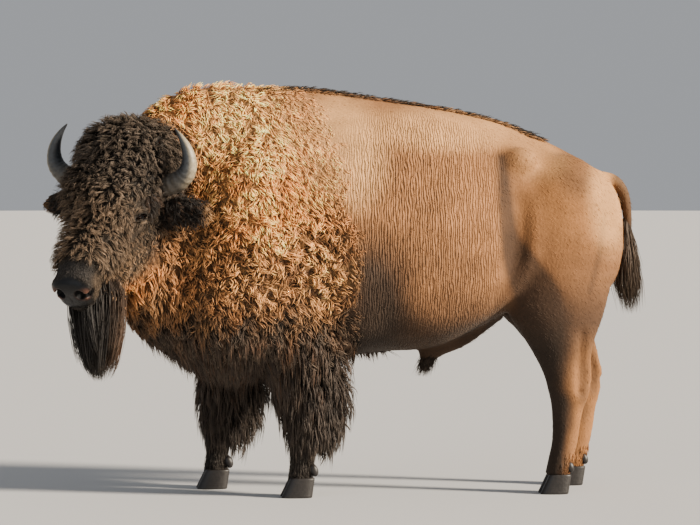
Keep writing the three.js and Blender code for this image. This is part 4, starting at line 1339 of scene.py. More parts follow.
def spikes(name, path, n, chart, width, colors, rng, flat=0.5, dark_root=0.45, light_tip=1.25,
           blunt=0.75):
    """One mesh of closed spikes along the paths. Colours run from a dark root to a lighter tip."""
    steps, count = len(path), path.shape[2]
    width = np.broadcast_to(width, count)
    dark_root, light_tip = dark_root * np.ones(3), light_tip * np.ones(3)
    roll = rng.uniform(-0.6, 0.6, count)
    rings, shades = [], []
    for k in range(steps - 1):
        t = k / (steps - 1)
        along_path = unit(path[k + 1] - path[max(k - 1, 0)])
        u = unit(np.cross(along_path, n, axis=0))
        v = np.cross(along_path, u, axis=0)
        u = u * np.cos(roll) + v * np.sin(roll)
        v = np.cross(along_path, u, axis=0)
        size = width * (1 - (1 - blunt) * t) * (0.8 if k == 0 else 1.0) / 2
        for corner in THREE_CORNERS:
            beside = u * (math.cos(corner) * size)
            rings.append(path[k] + beside - v * (math.sin(corner) * size * flat))
            shades.append(dark_root + (light_tip - dark_root) * t)
    rings.append(path[-1])
    shades.append(light_tip)
    points = np.stack(rings).transpose(2, 0, 1).reshape(-1, 3)
    shade = np.tile(np.stack(shades), (count, 1))
    own = (steps - 1) * 3 + 1
    sides = [(k, a, (a + 1) % 3) for k in range(steps - 2) for a in range(3)]
    quads = np.array([[k * 3 + a, k * 3 + b, k * 3 + 3 + b, k * 3 + 3 + a] for k, a, b in sides])
    last = (steps - 2) * 3
    tips = np.array([[last + a, last + (a + 1) % 3, own - 1] for a in range(3)] + [[2, 1, 0]])
    start = (np.arange(count) * own)[:, None, None]
    faces = [(start + quads).reshape(-1, 4), (start + tips).reshape(-1, 3)]
    mesh = mesh_of(name, to_frame(points), faces)
    add_colors(mesh, "coat_color", np.clip(np.repeat(colors, own, axis=0) * shade, 0.002, 1))
    # the patch of each spike on the unwrapped hide
    rise = 1 / (steps - 1)
    quad_uv = [
        [(a / 3, k * rise), ((a + 1) / 3, k * rise), ((a + 1) / 3, k * rise + rise),
         (a / 3, k * rise + rise)]
        for k, a, b in sides
    ]
    tip_uv = [[(a / 3, 1 - rise), ((a + 1) / 3, 1 - rise), ((a + 0.5) / 3, 1)] for a in range(3)]
    tip_uv.append([(0.66, 0), (0.33, 0), (0, 0)])
    root_uv = unwrap(path[0], chart).T[:, None, None, :]
    uv = [(root_uv + PATCH * (np.array(part) - 0.5)).reshape(-1, 2) for part in (quad_uv, tip_uv)]
    add_bake_map(mesh, np.clip(np.concatenate(uv), 0, 1))
    return placed(name, mesh)


def fur_material(name, roughness, sheen, gloss):
    material, tree, shader = blank_material(name)
    grain = add_grain(tree, 420, (1.0, 1.0, 0.3))
    bumped(tree, shader, [(grain.outputs["Height"], 0.002, 0.5)])
    plug(tree, shader, {
        "Base Color": shaded_color(tree, grain.outputs["Shade"]),
        "Roughness": roughness,
        "Specular IOR Level": gloss,
        "Sheen Weight": sheen,
        "Sheen Tint": (1.0, 0.82, 0.62, 1),
    })
    return material


def dress(piece, material, node=None):
    """Gives a piece its material, hangs it from the root, and hides the solid of the node it
    replaces.
    """
    piece.data.materials.append(material)
    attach(piece, "root")
    if node:
        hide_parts(node)


def varied(colors, rng, low, high):
    return colors * rng.uniform(low, high, len(colors))[:, None]


wool_material = fur_material("wool", 0.85, 0.14, 0.15)
long_hair_material = fur_material("long_dark_hair", 0.62, 0.04, 0.2)
short_hair_material = fur_material("short_hair", 0.65, 0.05, 0.2)

# --------------------------------------------------------------- wool of hump, neck and shoulder
# Dense curly wool a few fingers deep, golden brown with pale worn tips, in small locks that
# point every way. Each lock is a handful of spikes whose tips come together.


WOOL_SPIKES = 6  # spikes to a lock


def head_clearance(p):
    return smooth(coat_distance_to_head(p), 6, 40)


def wool_density(p, n):
    return smooth(cape(p), 0.02, 0.3) * smooth(p[2], 560, 740) * head_clearance(p)


WOOL_PARTS = [(-1, -2000, -400), (-1, -400, 300), (1, -2000, -400), (1, -400, 300)]


def wool_pieces():
    for number, (side, low, high) in enumerate(WOOL_PARTS):
        rng = np.random.default_rng(100 + number)
        p, n, chart = scatter(
            lambda q, m: wool_density(q, m) * (q[1] * side > 0) * (q[0] > low) * (q[0] <= high),
            23, 200 + number,
        )
        count = p.shape[1]
        shed, clump = shed_wool(p), clumps(p)
        smoother = smooth(p[0], -420, -250) * smooth(p[2], 1150, 1350)
        jaw = (1 - smooth(p[0], -900, -700)) * (1 - smooth(p[2], 1000, 1250))
        aside = (0.9 - 0.7 * smoother) * noise_turn(p, 44)
        aside += rng.normal(0, 0.35, count) * (1 + shed - 0.6 * smoother)
        way = turn(lie(p, n), n, aside)
        length = rng.uniform(36, 62, count) * (1 - 0.1 * smoother) * (1 + 0.1 * shed + 0.5 * jaw)
        length *= 0.55 + 0.45 * smooth(cape(p), 0.0, 0.8)
        stand = rng.uniform(0.4, 0.8, count) * (1 - 0.5 * smoother)
        path = grow_paths(
            p, n, way, length, stand, 4, rng,
            curl=0.5 + 0.4 * shed - 0.35 * smoother, sag=0.25 + 0.5 * jaw,
        )
        reach = rng.uniform(0.55, 1.1, count)
        reach += (0.85 - reach) * 0.7 * smoother + 0.5 * (clump - 0.6) * shed
        path = keep_inside(fill_out(path, reach), 8)
        # darker in the crevices between the locks: painted shade
        crevice_shade = 0.5 + 0.65 * smooth(mottle(p, 30, 2), -0.9, 0.3)
        crevice_shade += (1.0 - crevice_shade) * np.maximum(0.8 * smoother, shed)
        colors = varied(markings(p) * crevice_shade[:, None], rng, 0.75, 1.3)
        path, n, chart, colors = locks(
            path, n, chart, colors, WOOL_SPIKES, 20, rng, gather=0.32, ragged=0.4
        )
        colors = varied(colors, rng, 0.8, 1.2)
        width = rng.uniform(3.9, 6.5, path.shape[2])
        width *= np.repeat(1 - 0.35 * smoother, WOOL_SPIKES)
        piece = spikes(f"wool_{number + 1}", path, n, chart, width, colors, rng,
                       dark_root=0.3, light_tip=np.array([2.3, 2.15, 1.95]))
        dress(piece, wool_material)


wool_pieces()

# ------------------------------------------------------------------ mop of the crown and brow
# Long, dark, crinkled hair that spreads from between the horns over brow and poll, and grows
# shorter down the bridge of the nose and the cheeks.


def mop_density(p, n):
    face = in_face(p)
    on_head = coat_distance_to_head(p) < 10
    mirrored = both_sides(face)
    near_side = 0.8 + 0.2 * (face[1] > 0)
    round_eye = spot(mirrored, (176, 172, 2), (62 * near_side, 50, 54 * near_side))
    round_eye = np.maximum(round_eye, spot(mirrored, (232, 152, -22), (50 * near_side, 36, 36)))
    ear = in_ear(p)
    at_ear = (ear[2] > 175) & (ear[0] < -30) & (ear[0] > -150)
    return on_head * (1 - smooth(round_eye, 0.1, 0.5)) * ~at_ear * (face[0] < 450) * (p[0] < -640)


MOP_SPIKES = 6


def mop():
    for number, (side, name) in enumerate(((1, "mop_left"), (-1, "mop_right"))):
        rng = np.random.default_rng(300 + number)
        p, n, chart = scatter(
            lambda q, m: mop_density(q, m) * (in_face(q)[1] * side > 0), 17.5, 301 + number
        )
        count = p.shape[1]
        face = in_face(p)
        deep = np.clip(-coat_surface(p), 7, 110)
        way = turn(lie(p, n), n, 0.8 * noise_turn(p, 40) + rng.normal(0, 0.4, count))
        length = np.clip(deep * rng.uniform(1.1, 1.7, count), 20, 110)
        stand = rng.uniform(0.7, 1.2, count)
        path = grow_paths(p, n, way, length, stand, 4, rng, curl=0.3, sag=0.12)
        right_brow = smooth(-face[1], 60, 160) * smooth(face[0], -60, 40)
        reach = rng.uniform(0.75, 1.2, count) + 0.5 * right_brow
        path = keep_inside(fill_out(path, reach), 10 + 34 * right_brow)
        # darker in the crevices between the locks: painted shade
        crevice_shade = 0.7 + 0.5 * smooth(mottle(p, 28, 2), -0.9, 0.3)
        colors = varied(markings(p) * crevice_shade[:, None], rng, 0.7, 1.3)
        path, n, chart, colors = locks(
            path, n, chart, colors, MOP_SPIKES, 13, rng, gather=0.5, ragged=0.45
        )
        colors = varied(colors, rng, 0.85, 1.15)
        width = np.repeat(np.clip(deep * 0.085, 2.1, 4.5), MOP_SPIKES)
        piece = spikes(name, path, n, chart, width, colors, rng,
                       dark_root=0.5, light_tip=np.array([3.4, 3.05, 2.7]))
        dress(piece, wool_material)


mop()

# ----------------------------------------------------------- short hair of face, muzzle and ears
# Hair a finger's breadth long or less round the eyes and over the muzzle, and a long soft
# fringe on the ears. It leaves the nose bare.

EAR_BLACK = paint(38, 34, 32)


def on_ear(p):
    ear = in_ear(p)
    return smooth(ear[2], 170, 200) * (np.abs(ear[0] + 92) < 90)


def face_density(p, n):
    face = in_face(p)
    on_head = coat_distance_to_head(p) < 10
    in_lids = spot(both_sides(face), (166, 184, 12), (42, 34, 38)) > 0.3
    mop_here = mop_density(p, n) > 0.6
    bare = (on_ear(p) >= 0.5) | (bare_nose(face) >= 0.4)
    return on_head * ~in_lids * ~mop_here * ~bare * (p[0] < -640)


def face_hair():
    rng = np.random.default_rng(320)
    p, n, chart = scatter(face_density, 7.5, 321)
    face = in_face(p)
    fine = spot(both_sides(face), (170, 172, 4), (90, 80, 84))
    under = smooth(-face[2], 100, 170) * smooth(face[0], 120, 320) * (face[0] < 480)
    count = p.shape[1]
    way = turn(lie(p, n), n, 0.3 * noise_turn(p, 40) + rng.normal(0, 0.2, count))
    length = rng.uniform(11, 18, count) * (1 - 0.4 * fine) + under * rng.uniform(14, 80, count)
    stand = rng.uniform(0.16, 0.34, count) + 0.3 * under
    path = grow_paths(p, n, way, length, stand, 3, rng, curl=0.12, sag=0.15 + 0.9 * under)
    colors = varied(markings(p), rng, 0.75, 1.25)
    path, n, chart, colors = locks(path, n, chart, colors, 2, 4, rng, gather=0.3, ragged=0.3)
    width = np.repeat(1.7 - 0.6 * fine + 1.6 * under, 2)
    piece = spikes("face_hair", path, n, chart, width, colors, rng, dark_root=0.75, light_tip=1.3)
    dress(piece, short_hair_material)


face_hair()


def ear_hair_density(p, n):
    return (coat_distance_to_head(p) < 10) * (p[0] < -640) * on_ear(p)


def ear_hair():
    rng = np.random.default_rng(330)
    p, n, chart = scatter(ear_hair_density, 9.5, 331)
    count = p.shape[1]
    side = measured(p, (left,))[0]
    way = left[:, None] * np.sign(side) + 0.55 * rng.normal(size=(3, count)) - up[:, None] * 0.5
    way = unit(way - n * (way * n).sum(axis=0))
    near_tip = smooth(np.abs(side), 320, 390)
    left_ear = side > 0
    length = rng.uniform(36, 88, count)
    length *= np.where(left_ear, 1 - 0.4 * near_tip, 0.55 - 0.3 * near_tip)
    stand = rng.uniform(0.4, 1.0, count)
    path = grow_paths(p, n, way, length, stand, 4, rng, curl=0.2, sag=0.5)
    # a pale rim at the ear tips: partly their own colour, partly painted light, so stronger on the
    # left ear
    pale_and_lit_rim = near_tip * smooth(np.abs(side), 345, 380)
    colors = varied(painted(np.tile(EAR_BLACK, (count, 1)), [
        (PALE_TAN * 0.6, (0.3 + 0.4 * left_ear) * pale_and_lit_rim),
        (BROWN, 0.5 * (rng.random(count) < 0.25)),
    ]), rng, 0.7, 1.3)
    path, n, chart, colors = locks(path, n, chart, colors, 3, 7, rng, gather=0.5, ragged=0.4)
    width = rng.uniform(2.5, 3.9, 3 * count)
    piece = spikes("ear_hair", path, n, chart, width, colors, rng,
                   dark_root=0.6, light_tip=1.7, blunt=0.5)
    dress(piece, long_hair_material)


ear_hair()

# ------------------------------------------------------------------ beard
# Straight dark hair, a forearm long, from chin and jaw. The strands start on the hide under
# the jaw and hang together to a point.


def strands_in(chain, count, rng, root_inset, shortest, stray, steps=5):
    """Paths that fill a chain of joints from its first to its last."""
    fine = np.array(eased(chain, 6))
    reach = np.sqrt(rng.random(count))
    around = rng.uniform(0, FULL_TURN, count)
    u, v = np.cos(around) * reach, np.sin(around) * reach
    stop = rng.uniform(shortest, 1.0, count)
    wander = rng.normal(0, stray, (2, count))
    path = []
    for k in range(steps):
        t = k / (steps - 1)
        spot_on_chain = stop * t * (len(fine) - 1)
        i = np.clip(spot_on_chain.astype(int), 0, len(fine) - 2)
        row = fine[i] + (fine[i + 1] - fine[i]) * (spot_on_chain - i)[:, None]
        inset = root_inset + (0.97 - root_inset) * min(1, 2 * t)
        path.append(np.stack([
            row[:, 0] + u * row[:, 3] * inset + wander[0] * t * t,
            row[:, 1] + v * row[:, 4] * inset + wander[1] * t * t,
            row[:, 2],
        ]))
    return np.stack(path), u, v


def hide_triangle_by(p):
    """The hide's nearest triangle to each point, among every seventh of them."""
    sample = np.arange(0, tri_middle.shape[1], 7)
    best = np.empty(p.shape[1], dtype=np.int64)
    for i in range(0, p.shape[1], 400):
        gap = ((p[:, i:i + 400, None] - tri_middle[:, None, sample]) ** 2).sum(axis=0)
        best[i:i + 400] = sample[np.argmin(gap, axis=1)]
    return best


BEARD_CHAIN = [
    (*face_point(430, 0, -115), 108, 100),
    (*face_point(455, -8, -205), 124, 118),
    (-1112, -410, 735, 104, 112),
    (-1114, -414, 625, 82, 84),
    (-1110, -412, 560, 54, 56),
    (-1106, -408, 520, 20, 22),
]
BUNCHES, STRANDS = 120, 30  # bunches in the beard, and strands to a bunch


def beard():
    rng = np.random.default_rng(400)
    path, u, v = strands_in(BEARD_CHAIN, BUNCHES, rng, 0.75, 0.55, 11.0)
    steps = len(path)
    sway = rng.normal(0, 9, (2, BUNCHES))
    for k in range(steps):
        t = k / (steps - 1)
        path[k][:2] += sway * np.sin(3.1 * t + rng.uniform(0, 0.4))
    path, u, v = np.repeat(path, STRANDS, axis=2), np.repeat(u, STRANDS), np.repeat(v, STRANDS)
    count = BUNCHES * STRANDS
    fan = np.clip(rng.normal(0, 1, (3, count)), -1.8, 1.8) * np.array([[18], [18], [9]])
    shorter = 1 - 0.4 * rng.random(count) ** 2
    for k in range(steps):
        t = k / (steps - 1)
        if k:
            path[k] = path[0] + (path[k] - path[0]) * shorter
        path[k] += fan * (1 - 0.7 * t) + rng.normal(0, 1.6, (3, count)) * t
    root = hide_triangle_by(path[0])
    n = unit(np.stack([u, v, np.full(count, 0.2)]))
    behind = smooth(0.85 * u + 0.2 * v, -0.1, 0.75)
    browner = np.repeat(rng.uniform(0.3, 1.0, BUNCHES), STRANDS)
    paler = np.repeat(rng.uniform(0.6, 1.4, BUNCHES), STRANDS)
    colors = tint(np.tile(paint(32, 30, 29), (count, 1)), BROWN, behind * browner)
    colors = varied(colors * paler[:, None], rng, 0.75, 1.25)
    width = rng.uniform(4.0, 6.6, count)
    piece = spikes("beard_hair", path, n, chart_of_triangle[root], width, colors, rng,
                   dark_root=0.8, light_tip=1.5, blunt=0.45)
    dress(piece, long_hair_material)


beard()

# ------------------------------------------------------------------ chaps and brisket
# Long hair on the forearms and under the chest, brown-black with brown fringes. It starts
# outwards and then hangs, and fills the solids' outline of chaps and brisket.


def leg_hair_density(p, n):
    leg = (p[0] < 120) & (p[2] > 215) & (p[2] < 620)
    under = (cape(p) > 0.2) & (p[2] >= 480) & (p[2] < 740) & (p[0] > -1000)
    return (leg | under) * head_clearance(p)


def leg_hair():
    for number, (side, name) in enumerate(((-1, "chaps_left"), (1, "chaps_right"))):
        rng = np.random.default_rng(500 + number)
        p, n, chart = scatter(
            lambda q, m: leg_hair_density(q, m) * (q[1] * side > 0), 19.5, 510 + number
        )
        count = p.shape[1]
        way = turn(lie(p, n), n, 0.3 * noise_turn(p, 60) + rng.normal(0, 0.2, count))
        length = rng.uniform(70, 130, count) * (0.7 + 0.3 * smooth(p[2], 260, 420))
        length = np.minimum(length, np.maximum(p[2] - 120, 30))
        stand = rng.uniform(0.4, 0.8, count)
        path = grow_paths(p, n, way, length, stand, 5, rng, curl=0.18, sag=0.7)
        path = keep_inside(fill_out(path, rng.uniform(0.5, 1.1, count)), 8)
        path[-1][2] -= rng.uniform(0, 55, count)
        path[:, 2] = np.maximum(path[:, 2], 95)
        fringe = smooth(mottle(p, 40), 0.2, 0.9) * smooth(p[2], 300, 700) * 0.6
        colors = varied(tint(markings(p), BROWN, fringe), rng, 0.7, 1.4)
        path, n, chart, colors = locks(
            path, n, chart, colors, 3, 13, rng, gather=0.5, ragged=0.35
        )
        colors = varied(colors, rng, 0.85, 1.15)
        width = rng.uniform(4.6, 7.4, path.shape[2])
        piece = spikes(name, path, n, chart, width, colors, rng,
                       dark_root=0.5, light_tip=np.array([1.7, 1.55, 1.45]), blunt=0.5)
        dress(piece, long_hair_material)


leg_hair()

# ---------------------------------------------------------------- short coat of the hindquarters
# Hair that lies flat, a finger's breadth long, back along the body and down the legs. The
# hide's own grain shows most of it, and these flat tufts break the form and the outline.


def short_density(p, n):
    here = (cape(p) < 0.5) * (p[0] > -320) * (p[2] > 108)
    return here * (1 - leg_hair_density(p, n)) * head_clearance(p)


def feet_density(p, n):
    behind_hind_fetlock = (p[0] > 750) & (p[2] < 190) & (n[0] > 0.1)
    return ((p[0] < 120) & (p[2] < 300) | behind_hind_fetlock) * (p[2] > 92)


def short_coat():
    rng = np.random.default_rng(600)
    p, n, chart = scatter(short_density, 18.5, 601)
    count = p.shape[1]
    way = turn(lie(p, n), n, 0.12 * noise_turn(p, 90) + rng.normal(0, 0.12, count))
    length = rng.uniform(20, 38, count) * (0.6 + 0.4 * smooth(p[2], 300, 800))
    path = grow_paths(p, n, way, length, rng.uniform(0.08, 0.15, count), 3, rng, curl=0.05)
    colors = varied(markings(p), rng, 0.86, 1.08)
    piece = spikes("short_coat", path, n, chart, rng.uniform(1.5, 2.6, count), colors, rng,
                   flat=0.3, dark_root=0.96, light_tip=0.98)
    dress(piece, short_hair_material)


short_coat()


def foot_hair():
    rng = np.random.default_rng(610)
    p, n, chart = scatter(feet_density, 8.5, 611)
    count = p.shape[1]
    length = rng.uniform(18, 34, count) + 22 * smooth(p[2], 105, 150)
    stand = rng.uniform(0.2, 0.6, count)
    path = grow_paths(p, n, lie(p, n), length, stand, 3, rng, curl=0.1, sag=0.3)
    path[:, 2] = np.maximum(path[:, 2], 60)
    width = rng.uniform(2.2, 3.6, count)
    colors = varied(markings(p), rng, 0.72, 1.28)
    piece = spikes("foot_hair", path, n, chart, width, colors, rng, dark_root=0.8, light_tip=1.5)
    dress(piece, short_hair_material)


foot_hair()

# ------------------------------------------------------------------ mane along the spine
# A strip of longer dark hair from the hump to the loin, lying back along the spine.


def spine_density(p, n):
    return (np.abs(p[1]) < 62) * (n[2] > 0.3) * (p[0] > -420) * (p[0] < 840) * (p[2] > 1440)


def spine_mane():
    rng = np.random.default_rng(620)
    p, n, chart = scatter(spine_density, 10.5, 621)
    count = p.shape[1]
    way = turn(lie(p, n), n, 0.2 * noise_turn(p, 60) + rng.normal(0, 0.2, count))
    length, stand = rng.uniform(32, 60, count), rng.uniform(0.4, 0.8, count)
    path = grow_paths(p, n, way, length, stand, 4, rng, curl=0.2)
    path = keep_inside(path, rng.uniform(6, 22, count))
    dark = tint(markings(p), SOOT, 0.95 * (1 - smooth(np.abs(p[1]), 34, 70)))
    path, n, chart, colors = locks(path, n, chart, dark, 2, 6, rng, gather=0.6, ragged=0.3)
    colors = varied(colors, rng, 0.6, 1.3)
    piece = spikes("spine_mane", path, n, chart, rng.uniform(3.2, 5.2, 2 * count), colors, rng,
                   dark_root=0.6, light_tip=1.35)
    dress(piece, long_hair_material)


spine_mane()

# -------------------------------------------------------- tassel of the tail, tuft of the sheath
# The tail ends in a long dark tassel, and the sheath in a short brown tuft. Both are bundles
# of straight strands.

TASSEL = [
    (1232, 0, 1200, 24, 24),
    (1230, 0, 1100, 46, 42),
    (1234, 0, 990, 56, 50),
    (1240, 0, 890, 58, 50),
    (1256, 0, 770, 28, 24),
]
SHEATH_TUFT = [(362, 0, 622, 44, 36), (340, 0, 566, 34, 28), (322, 0, 500, 20, 16)]


def bundle(name, chain, count, seed, color, width):
    rng = np.random.default_rng(seed)
    path, u, v = strands_in(chain, count, rng, 0.6, 0.45, 14.0)
    n = unit(np.stack([u, v, np.full(count, 0.1)]))
    root = hide_triangle_by(path[0])
    path[1:] += rng.normal(0, 1.5, path[1:].shape)
    colors = varied(np.tile(color, (count, 1)), rng, 0.6, 1.4)
    width = rng.uniform(*width, count)
    piece = spikes(name, path, n, chart_of_triangle[root], width, colors, rng,
                   dark_root=0.9, light_tip=1.3, blunt=0.5)
    dress(piece, long_hair_material)
    return piece


tassel = bundle("tail_tassel", TASSEL, 1700, 700, paint(62, 50, 40), (4.0, 6.4))
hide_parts("tassel")
bundle("sheath_tuft", SHEATH_TUFT, 520, 710, DARK, (3, 4.6))

# ------------------------------------------------------------------ eyes
# A wet, nearly black eyeball with a deep brown iris round a level, oval pupil, set behind a
# clear bulging cornea. Both sit in the lids of the hide.


def ball(rings, sides):
    """Unit sphere about +Z: points, quads and triangles."""
    points = [(0, 0, 1)]
    for r in range(1, rings):
        a = math.pi * r / rings
        for k in range(sides):
            b = 2 * math.pi * k / sides
            points.append((math.sin(a) * math.cos(b), math.sin(a) * math.sin(b), math.cos(a)))
    points.append((0, 0, -1))
    around = [(k, (k + 1) % sides) for k in range(sides)]
    quads = [
        (1 + r * sides + a, 1 + (r + 1) * sides + a, 1 + (r + 1) * sides + b, 1 + r * sides + b)
        for r in range(rings - 2) for a, b in around
    ]
    last = len(points) - 1
    caps = [(0, 1 + a, 1 + b) for a, b in around]
    caps += [(last, last - sides + b, last - sides + a) for a, b in around]
    return np.array(points, dtype=float), [np.array(quads), np.array(caps)]


def colored_piece(name, points, faces, colors):
    mesh = mesh_of(name, to_frame(points), faces)
    add_colors(mesh, "own_color", colors)
    return placed(name, mesh)


def eyeball_material():
    material, tree, shader = blank_material("eyeball")
    plug(tree, shader, {
        "Base Color": mesh_value(tree, "own_color").outputs["Color"],
        "Roughness": 0.5,
        "Specular IOR Level": 0.0,
    })
    return material


def glass_material():
    material, tree, shader = blank_material("cornea")
    plug(tree, shader, {
        "Base Color": (1.0, 1.0, 1.0, 1), "Roughness": 0.0, "Transmission Weight": 1.0, "IOR": 1.33,
    })
    return material


eye_material, cornea_material = eyeball_material(), glass_material()
EYE_WHITE, IRIS_RIM, IRIS_BROWN = paint(50, 38, 33), paint(24, 16, 13), paint(28, 18, 13)
PUPIL_BLACK = paint(10, 8, 8)
IRIS = 13.5  # radius of the iris, mm


def eye(side, name):
    turned_left = left * side
    gaze = noseward * GAZE[0] + turned_left * GAZE[1] + outward * GAZE[2]
    corners = noseward * CORNERS[0] + turned_left * CORNERS[1] + outward * CORNERS[2]
    axes = np.stack([corners, np.cross(gaze, corners), gaze])
    centre = face_point(EYE_AT[0], side * EYE_AT[1], EYE_AT[2])
    points, faces = ball(40, 48)
    radius = EYE_RADIUS - 1.2
    level = points * radius
    from_axis = np.hypot(level[:, 0], level[:, 1])
    in_front = level[:, 2] > 0
    iris = (1 - smooth(from_axis, IRIS - 1.0, IRIS)) * in_front
    level[:, 2] -= 3.2 * iris * (1 - (from_axis / IRIS) ** 2 * 0.4)
    pupil = 1 - smooth(np.hypot(level[:, 0] / 8.0, level[:, 1] / 5.0), 0.9, 1.1)
    streak = 0.75 + 0.35 * np.sin(np.arctan2(level[:, 1], level[:, 0]) * 24)
    colors = painted(np.tile(EYE_WHITE, (len(points), 1)), [
        (IRIS_RIM, smooth(IRIS + 6 - from_axis, 0, 5) * in_front), (IRIS_BROWN, iris),
    ])
    colors = tint(colors * np.where(iris > 0.5, streak, 1)[:, None], PUPIL_BLACK, pupil * iris)
    eyeball = colored_piece(f"eyeball_{name}", centre + level @ axes, faces, colors)
    dress(eyeball, eye_material, f"eye_{name}")
    dome = points * (radius + 0.5)
    bulge = 1 - smooth(np.hypot(dome[:, 0], dome[:, 1]), 0, IRIS + 2)
    dome[:, 2] += 2.6 * bulge * (dome[:, 2] > 0)
    clear = mesh_of(f"cornea_{name}", to_frame(centre + dome @ axes), faces)
    cornea = placed(f"cornea_{name}", clear)
    dress(cornea, cornea_material)


eye(1, "left")
eye(-1, "right")

# ------------------------------------------------------------------ horns
# Solid sheaths of horn that grow out of the sides of the skull and curl up and in. They are
# grey, ringed and scuffed at the base, smooth to a dark tip, and worn pale on the outer curve.

HORN = [
    # side, up, ahead of the poll, and radius
    (110, 8, -38, 52),
    (190, 12, -30, 51),
    (262, 30, -22, 47),
    (310, 72, -14, 41),
    (323, 124, -7, 33),
    (312, 176, 0, 24),
    (286, 222, 5, 13),
    (257, 257, 8, 3),
]


HORN_GREY, WORN_HORN, HORN_ROOT = paint(62, 65, 68), paint(150, 138, 112), paint(78, 70, 58)
INNER_HORN, HORN_TIP = paint(26, 30, 36), paint(26, 27, 30)
HORN_SIDES, HORN_FLATNESS, HORN_THINNER = 40, 0.94, 0.98


def closed_rings(rings, first, last):
    """A closed form through rings of points, with a point in the middle of either end."""
    count, sides = rings.shape[:2]
    points = np.concatenate([rings.reshape(-1, 3), first[None], last[None]])
    r, k = np.meshgrid(np.arange(count - 1), np.arange(sides), indexing="ij")
    a, b = r * sides + k, r * sides + (k + 1) % sides
    quads = np.stack([a, b, b + sides, a + sides], axis=-1).reshape(-1, 4)
    k, end, middle = np.arange(sides), (count - 1) * sides, np.full(sides, count * sides)
    caps = np.concatenate([
        np.stack([middle, (k + 1) % sides, k], axis=1),
        np.stack([middle + 1, end + k, end + (k + 1) % sides], axis=1),
    ])
    return points, [quads, caps]


def rings_along(centres, across, radii, angle):
    """Rings square to a line of centres: radii is one row per ring, one value per side."""
    tangents = np.gradient(centres, axis=0)
    tangents /= np.linalg.norm(tangents, axis=1)[:, None]
    side = across - tangents * (tangents @ across)[:, None]
    side /= np.linalg.norm(side, axis=1)[:, None]
    depth = np.cross(tangents, side)
    return (
        centres[:, None]
        + side[:, None] * (np.cos(angle) * radii)[:, :, None]
        + depth[:, None] * (np.sin(angle) * radii * HORN_FLATNESS)[:, :, None]
    )


def horn_material():
    material, tree, shader = blank_material("horn")
    place = add_node(tree, "TexCoord", {}).outputs["Object"]
    scuff = add_node(tree, "TexNoise", {"Vector": place, "Scale": 95, "Detail": 6}).outputs["Fac"]
    bumped(tree, shader, [(scuff, 0.0015, 0.6)])
    plug(tree, shader, {
        "Base Color": shaded_color(tree, ranged(tree, scuff, 0.7, 1.25, 0.3, 0.7), "own_color"),
        "Roughness": ranged(tree, scuff, 0.34, 0.66),
    })
    return material


sheath_of_horn = horn_material()


def horn(side, name):
    chain = np.array(eased([(s, u, f, r, r) for s, u, f, r in HORN], 14))
    centres = np.stack([level_point(f, side * s, u) for s, u, f in chain[:, :3]])
    t = np.linspace(0, 1, len(centres))[:, None]
    ring = np.sin(t * 105 + 1.2 * np.sin(t * 31)) * 1.5 * (1 - smooth(t, 0.2, 0.75))
    angle = np.arange(HORN_SIDES) / HORN_SIDES * 2 * math.pi
    flute = 0.5 * np.sin(angle * 7 + t * 5) * (1 - t)
    radii = np.maximum(chain[:, 3][:, None] * HORN_THINNER + ring + flute, 0.8)
    rings = rings_along(centres, ahead, radii, angle)
    points, faces = closed_rings(rings, centres[0], centres[-1])
    out_way = centres - (POLL + up * 110 + left * side * 205)
    out_way /= np.linalg.norm(out_way, axis=1)[:, None]
    normal = rings - centres[:, None]
    normal /= np.linalg.norm(normal, axis=2)[:, :, None]
    outer = (normal * out_way[:, None]).sum(axis=2).ravel()
    t, ring = np.repeat(t, HORN_SIDES), np.repeat(ring, HORN_SIDES)
    worn = smooth(outer, 0.15, 0.9) * smooth(t, 0.25, 0.45) * (1 - smooth(t, 0.9, 1.0))
    colors = painted(np.tile(HORN_GREY, (len(t), 1)), [
        (WORN_HORN, 0.85 * worn),
        (HORN_ROOT, 0.7 * (1 - smooth(t, 0.25, 0.55))),
        (INNER_HORN, 0.75 * smooth(-outer, 0.0, 0.7) * smooth(t, 0.3, 0.5)),
        (HORN_TIP, 0.8 * smooth(t, 0.82, 1.0)),
    ])
    colors *= 1 + 0.1 * ring[:, None] / 1.5
    colors = np.concatenate([colors, colors[:1], colors[-HORN_SIDES:][:1]])
    piece = colored_piece(f"horn_sheath_{name}", points, faces, colors)
    dress(piece, sheath_of_horn, f"horn_{name}")


horn(1, "left")
horn(-1, "right")

# ------------------------------------------------------------------ hooves and dewclaws
# Two claws of dark horn to each foot, flat on the ground, leaning back from toe to coronet and
# ridged by growth. Two small blunt dewclaws hang behind each fetlock.

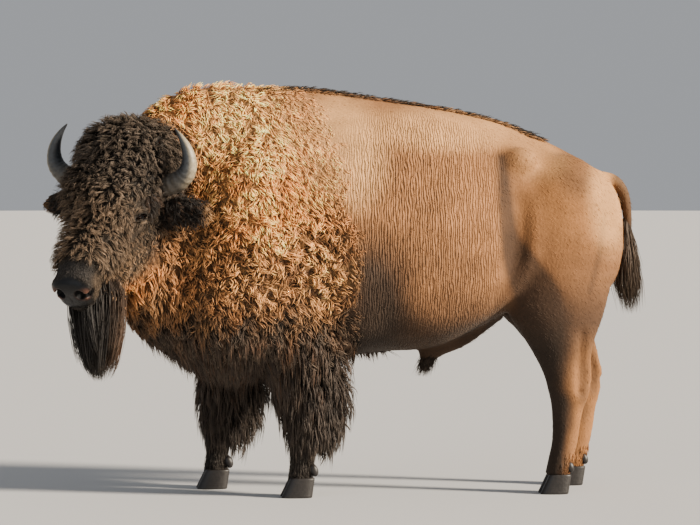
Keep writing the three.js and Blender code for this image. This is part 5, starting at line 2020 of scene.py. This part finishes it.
CLAW_LENGTH, CLAW_WIDTH, CLAW_LEAN, CLEFT = 130.0, 60.0, 27.0, 5.0
CLAW_SIDES, CLAW_BLACK, DEWCLAW_BLACK = 36, paint(26, 22, 20), paint(22, 18, 17)
CLAW_LEVELS = np.array([0, 0.025, 0.06, *np.linspace(0.1, 0.94, 22), 0.98, 1.0])
FEET = {
    # the middle of the two claws, and their size
    "fore_left": (-256, -FORE_APART, 1.04),
    "fore_right": (-256 - FORE_STRIDE, FORE_APART, 1.04),
    "hind_left": (878, -HIND_APART, 0.96),
    "hind_right": (878 + HIND_STRIDE, HIND_APART, 0.96),
}


def claw_edge(h):
    """How much the claw is rounded off at its sole and its top."""
    if h < 0.03:
        return 0.035 if h == 0 else 0.012
    if h > 0.97:
        return 0.06 if h == 1 else 0.015
    return 0


def claw(size):
    angle = np.arange(CLAW_SIDES) / CLAW_SIDES * 2 * math.pi
    bow = [np.sign(v) * np.abs(v) ** 0.8 for v in (np.cos(angle), np.sin(angle))]
    rings = []
    for h in CLAW_LEVELS:
        ridge = 1 + 0.008 * math.sin(h * 60) * (0.1 < h < 0.94)
        deep = CLAW_LENGTH * size * (1 - 0.22 * h - claw_edge(h)) * ridge
        wide = CLAW_WIDTH * size * (1 - 0.1 * h - claw_edge(h)) * ridge
        height = np.full(CLAW_SIDES, (CORONET - 0.3) * h)
        rings.append([CLAW_LEAN * h + bow[0] * deep / 2, bow[1] * wide / 2, height])
    rings = np.array(rings).transpose(0, 2, 1)
    points, faces = closed_rings(rings, rings[0].mean(axis=0), rings[-1].mean(axis=0))
    tone = 0.75 + 0.5 * np.concatenate([np.repeat(CLAW_LEVELS, CLAW_SIDES), [0, 1]])
    return points, faces, tone


def hooves():
    for foot, (x, y, size) in FEET.items():
        for place, way in (("inner", -np.sign(y)), ("outer", np.sign(y))):
            points, faces, tone = claw(size)
            aside = way * (CLAW_WIDTH * size + CLEFT) / 2
            piece = colored_piece(
                f"claw_{foot}_{place}", points + np.array([x, y + aside, 0]), faces,
                CLAW_BLACK * tone[:, None],
            )
            dress(piece, sheath_of_horn, f"hoof_{foot}_{place}")
            drop, drop_faces = ball(14, 20)
            drop[:, 0] += 0.25 * (1 - drop[:, 2])
            behind = np.array([x + 8 + 60 * size, y + way * 30, 118])
            small = colored_piece(
                f"small_claw_{foot}_{place}", drop * np.array([19, 15, 26]) * size + behind,
                drop_faces, np.tile(DEWCLAW_BLACK, (len(drop), 1)),
            )
            dress(small, sheath_of_horn, f"dewclaw_{foot}_{place}")


hooves()
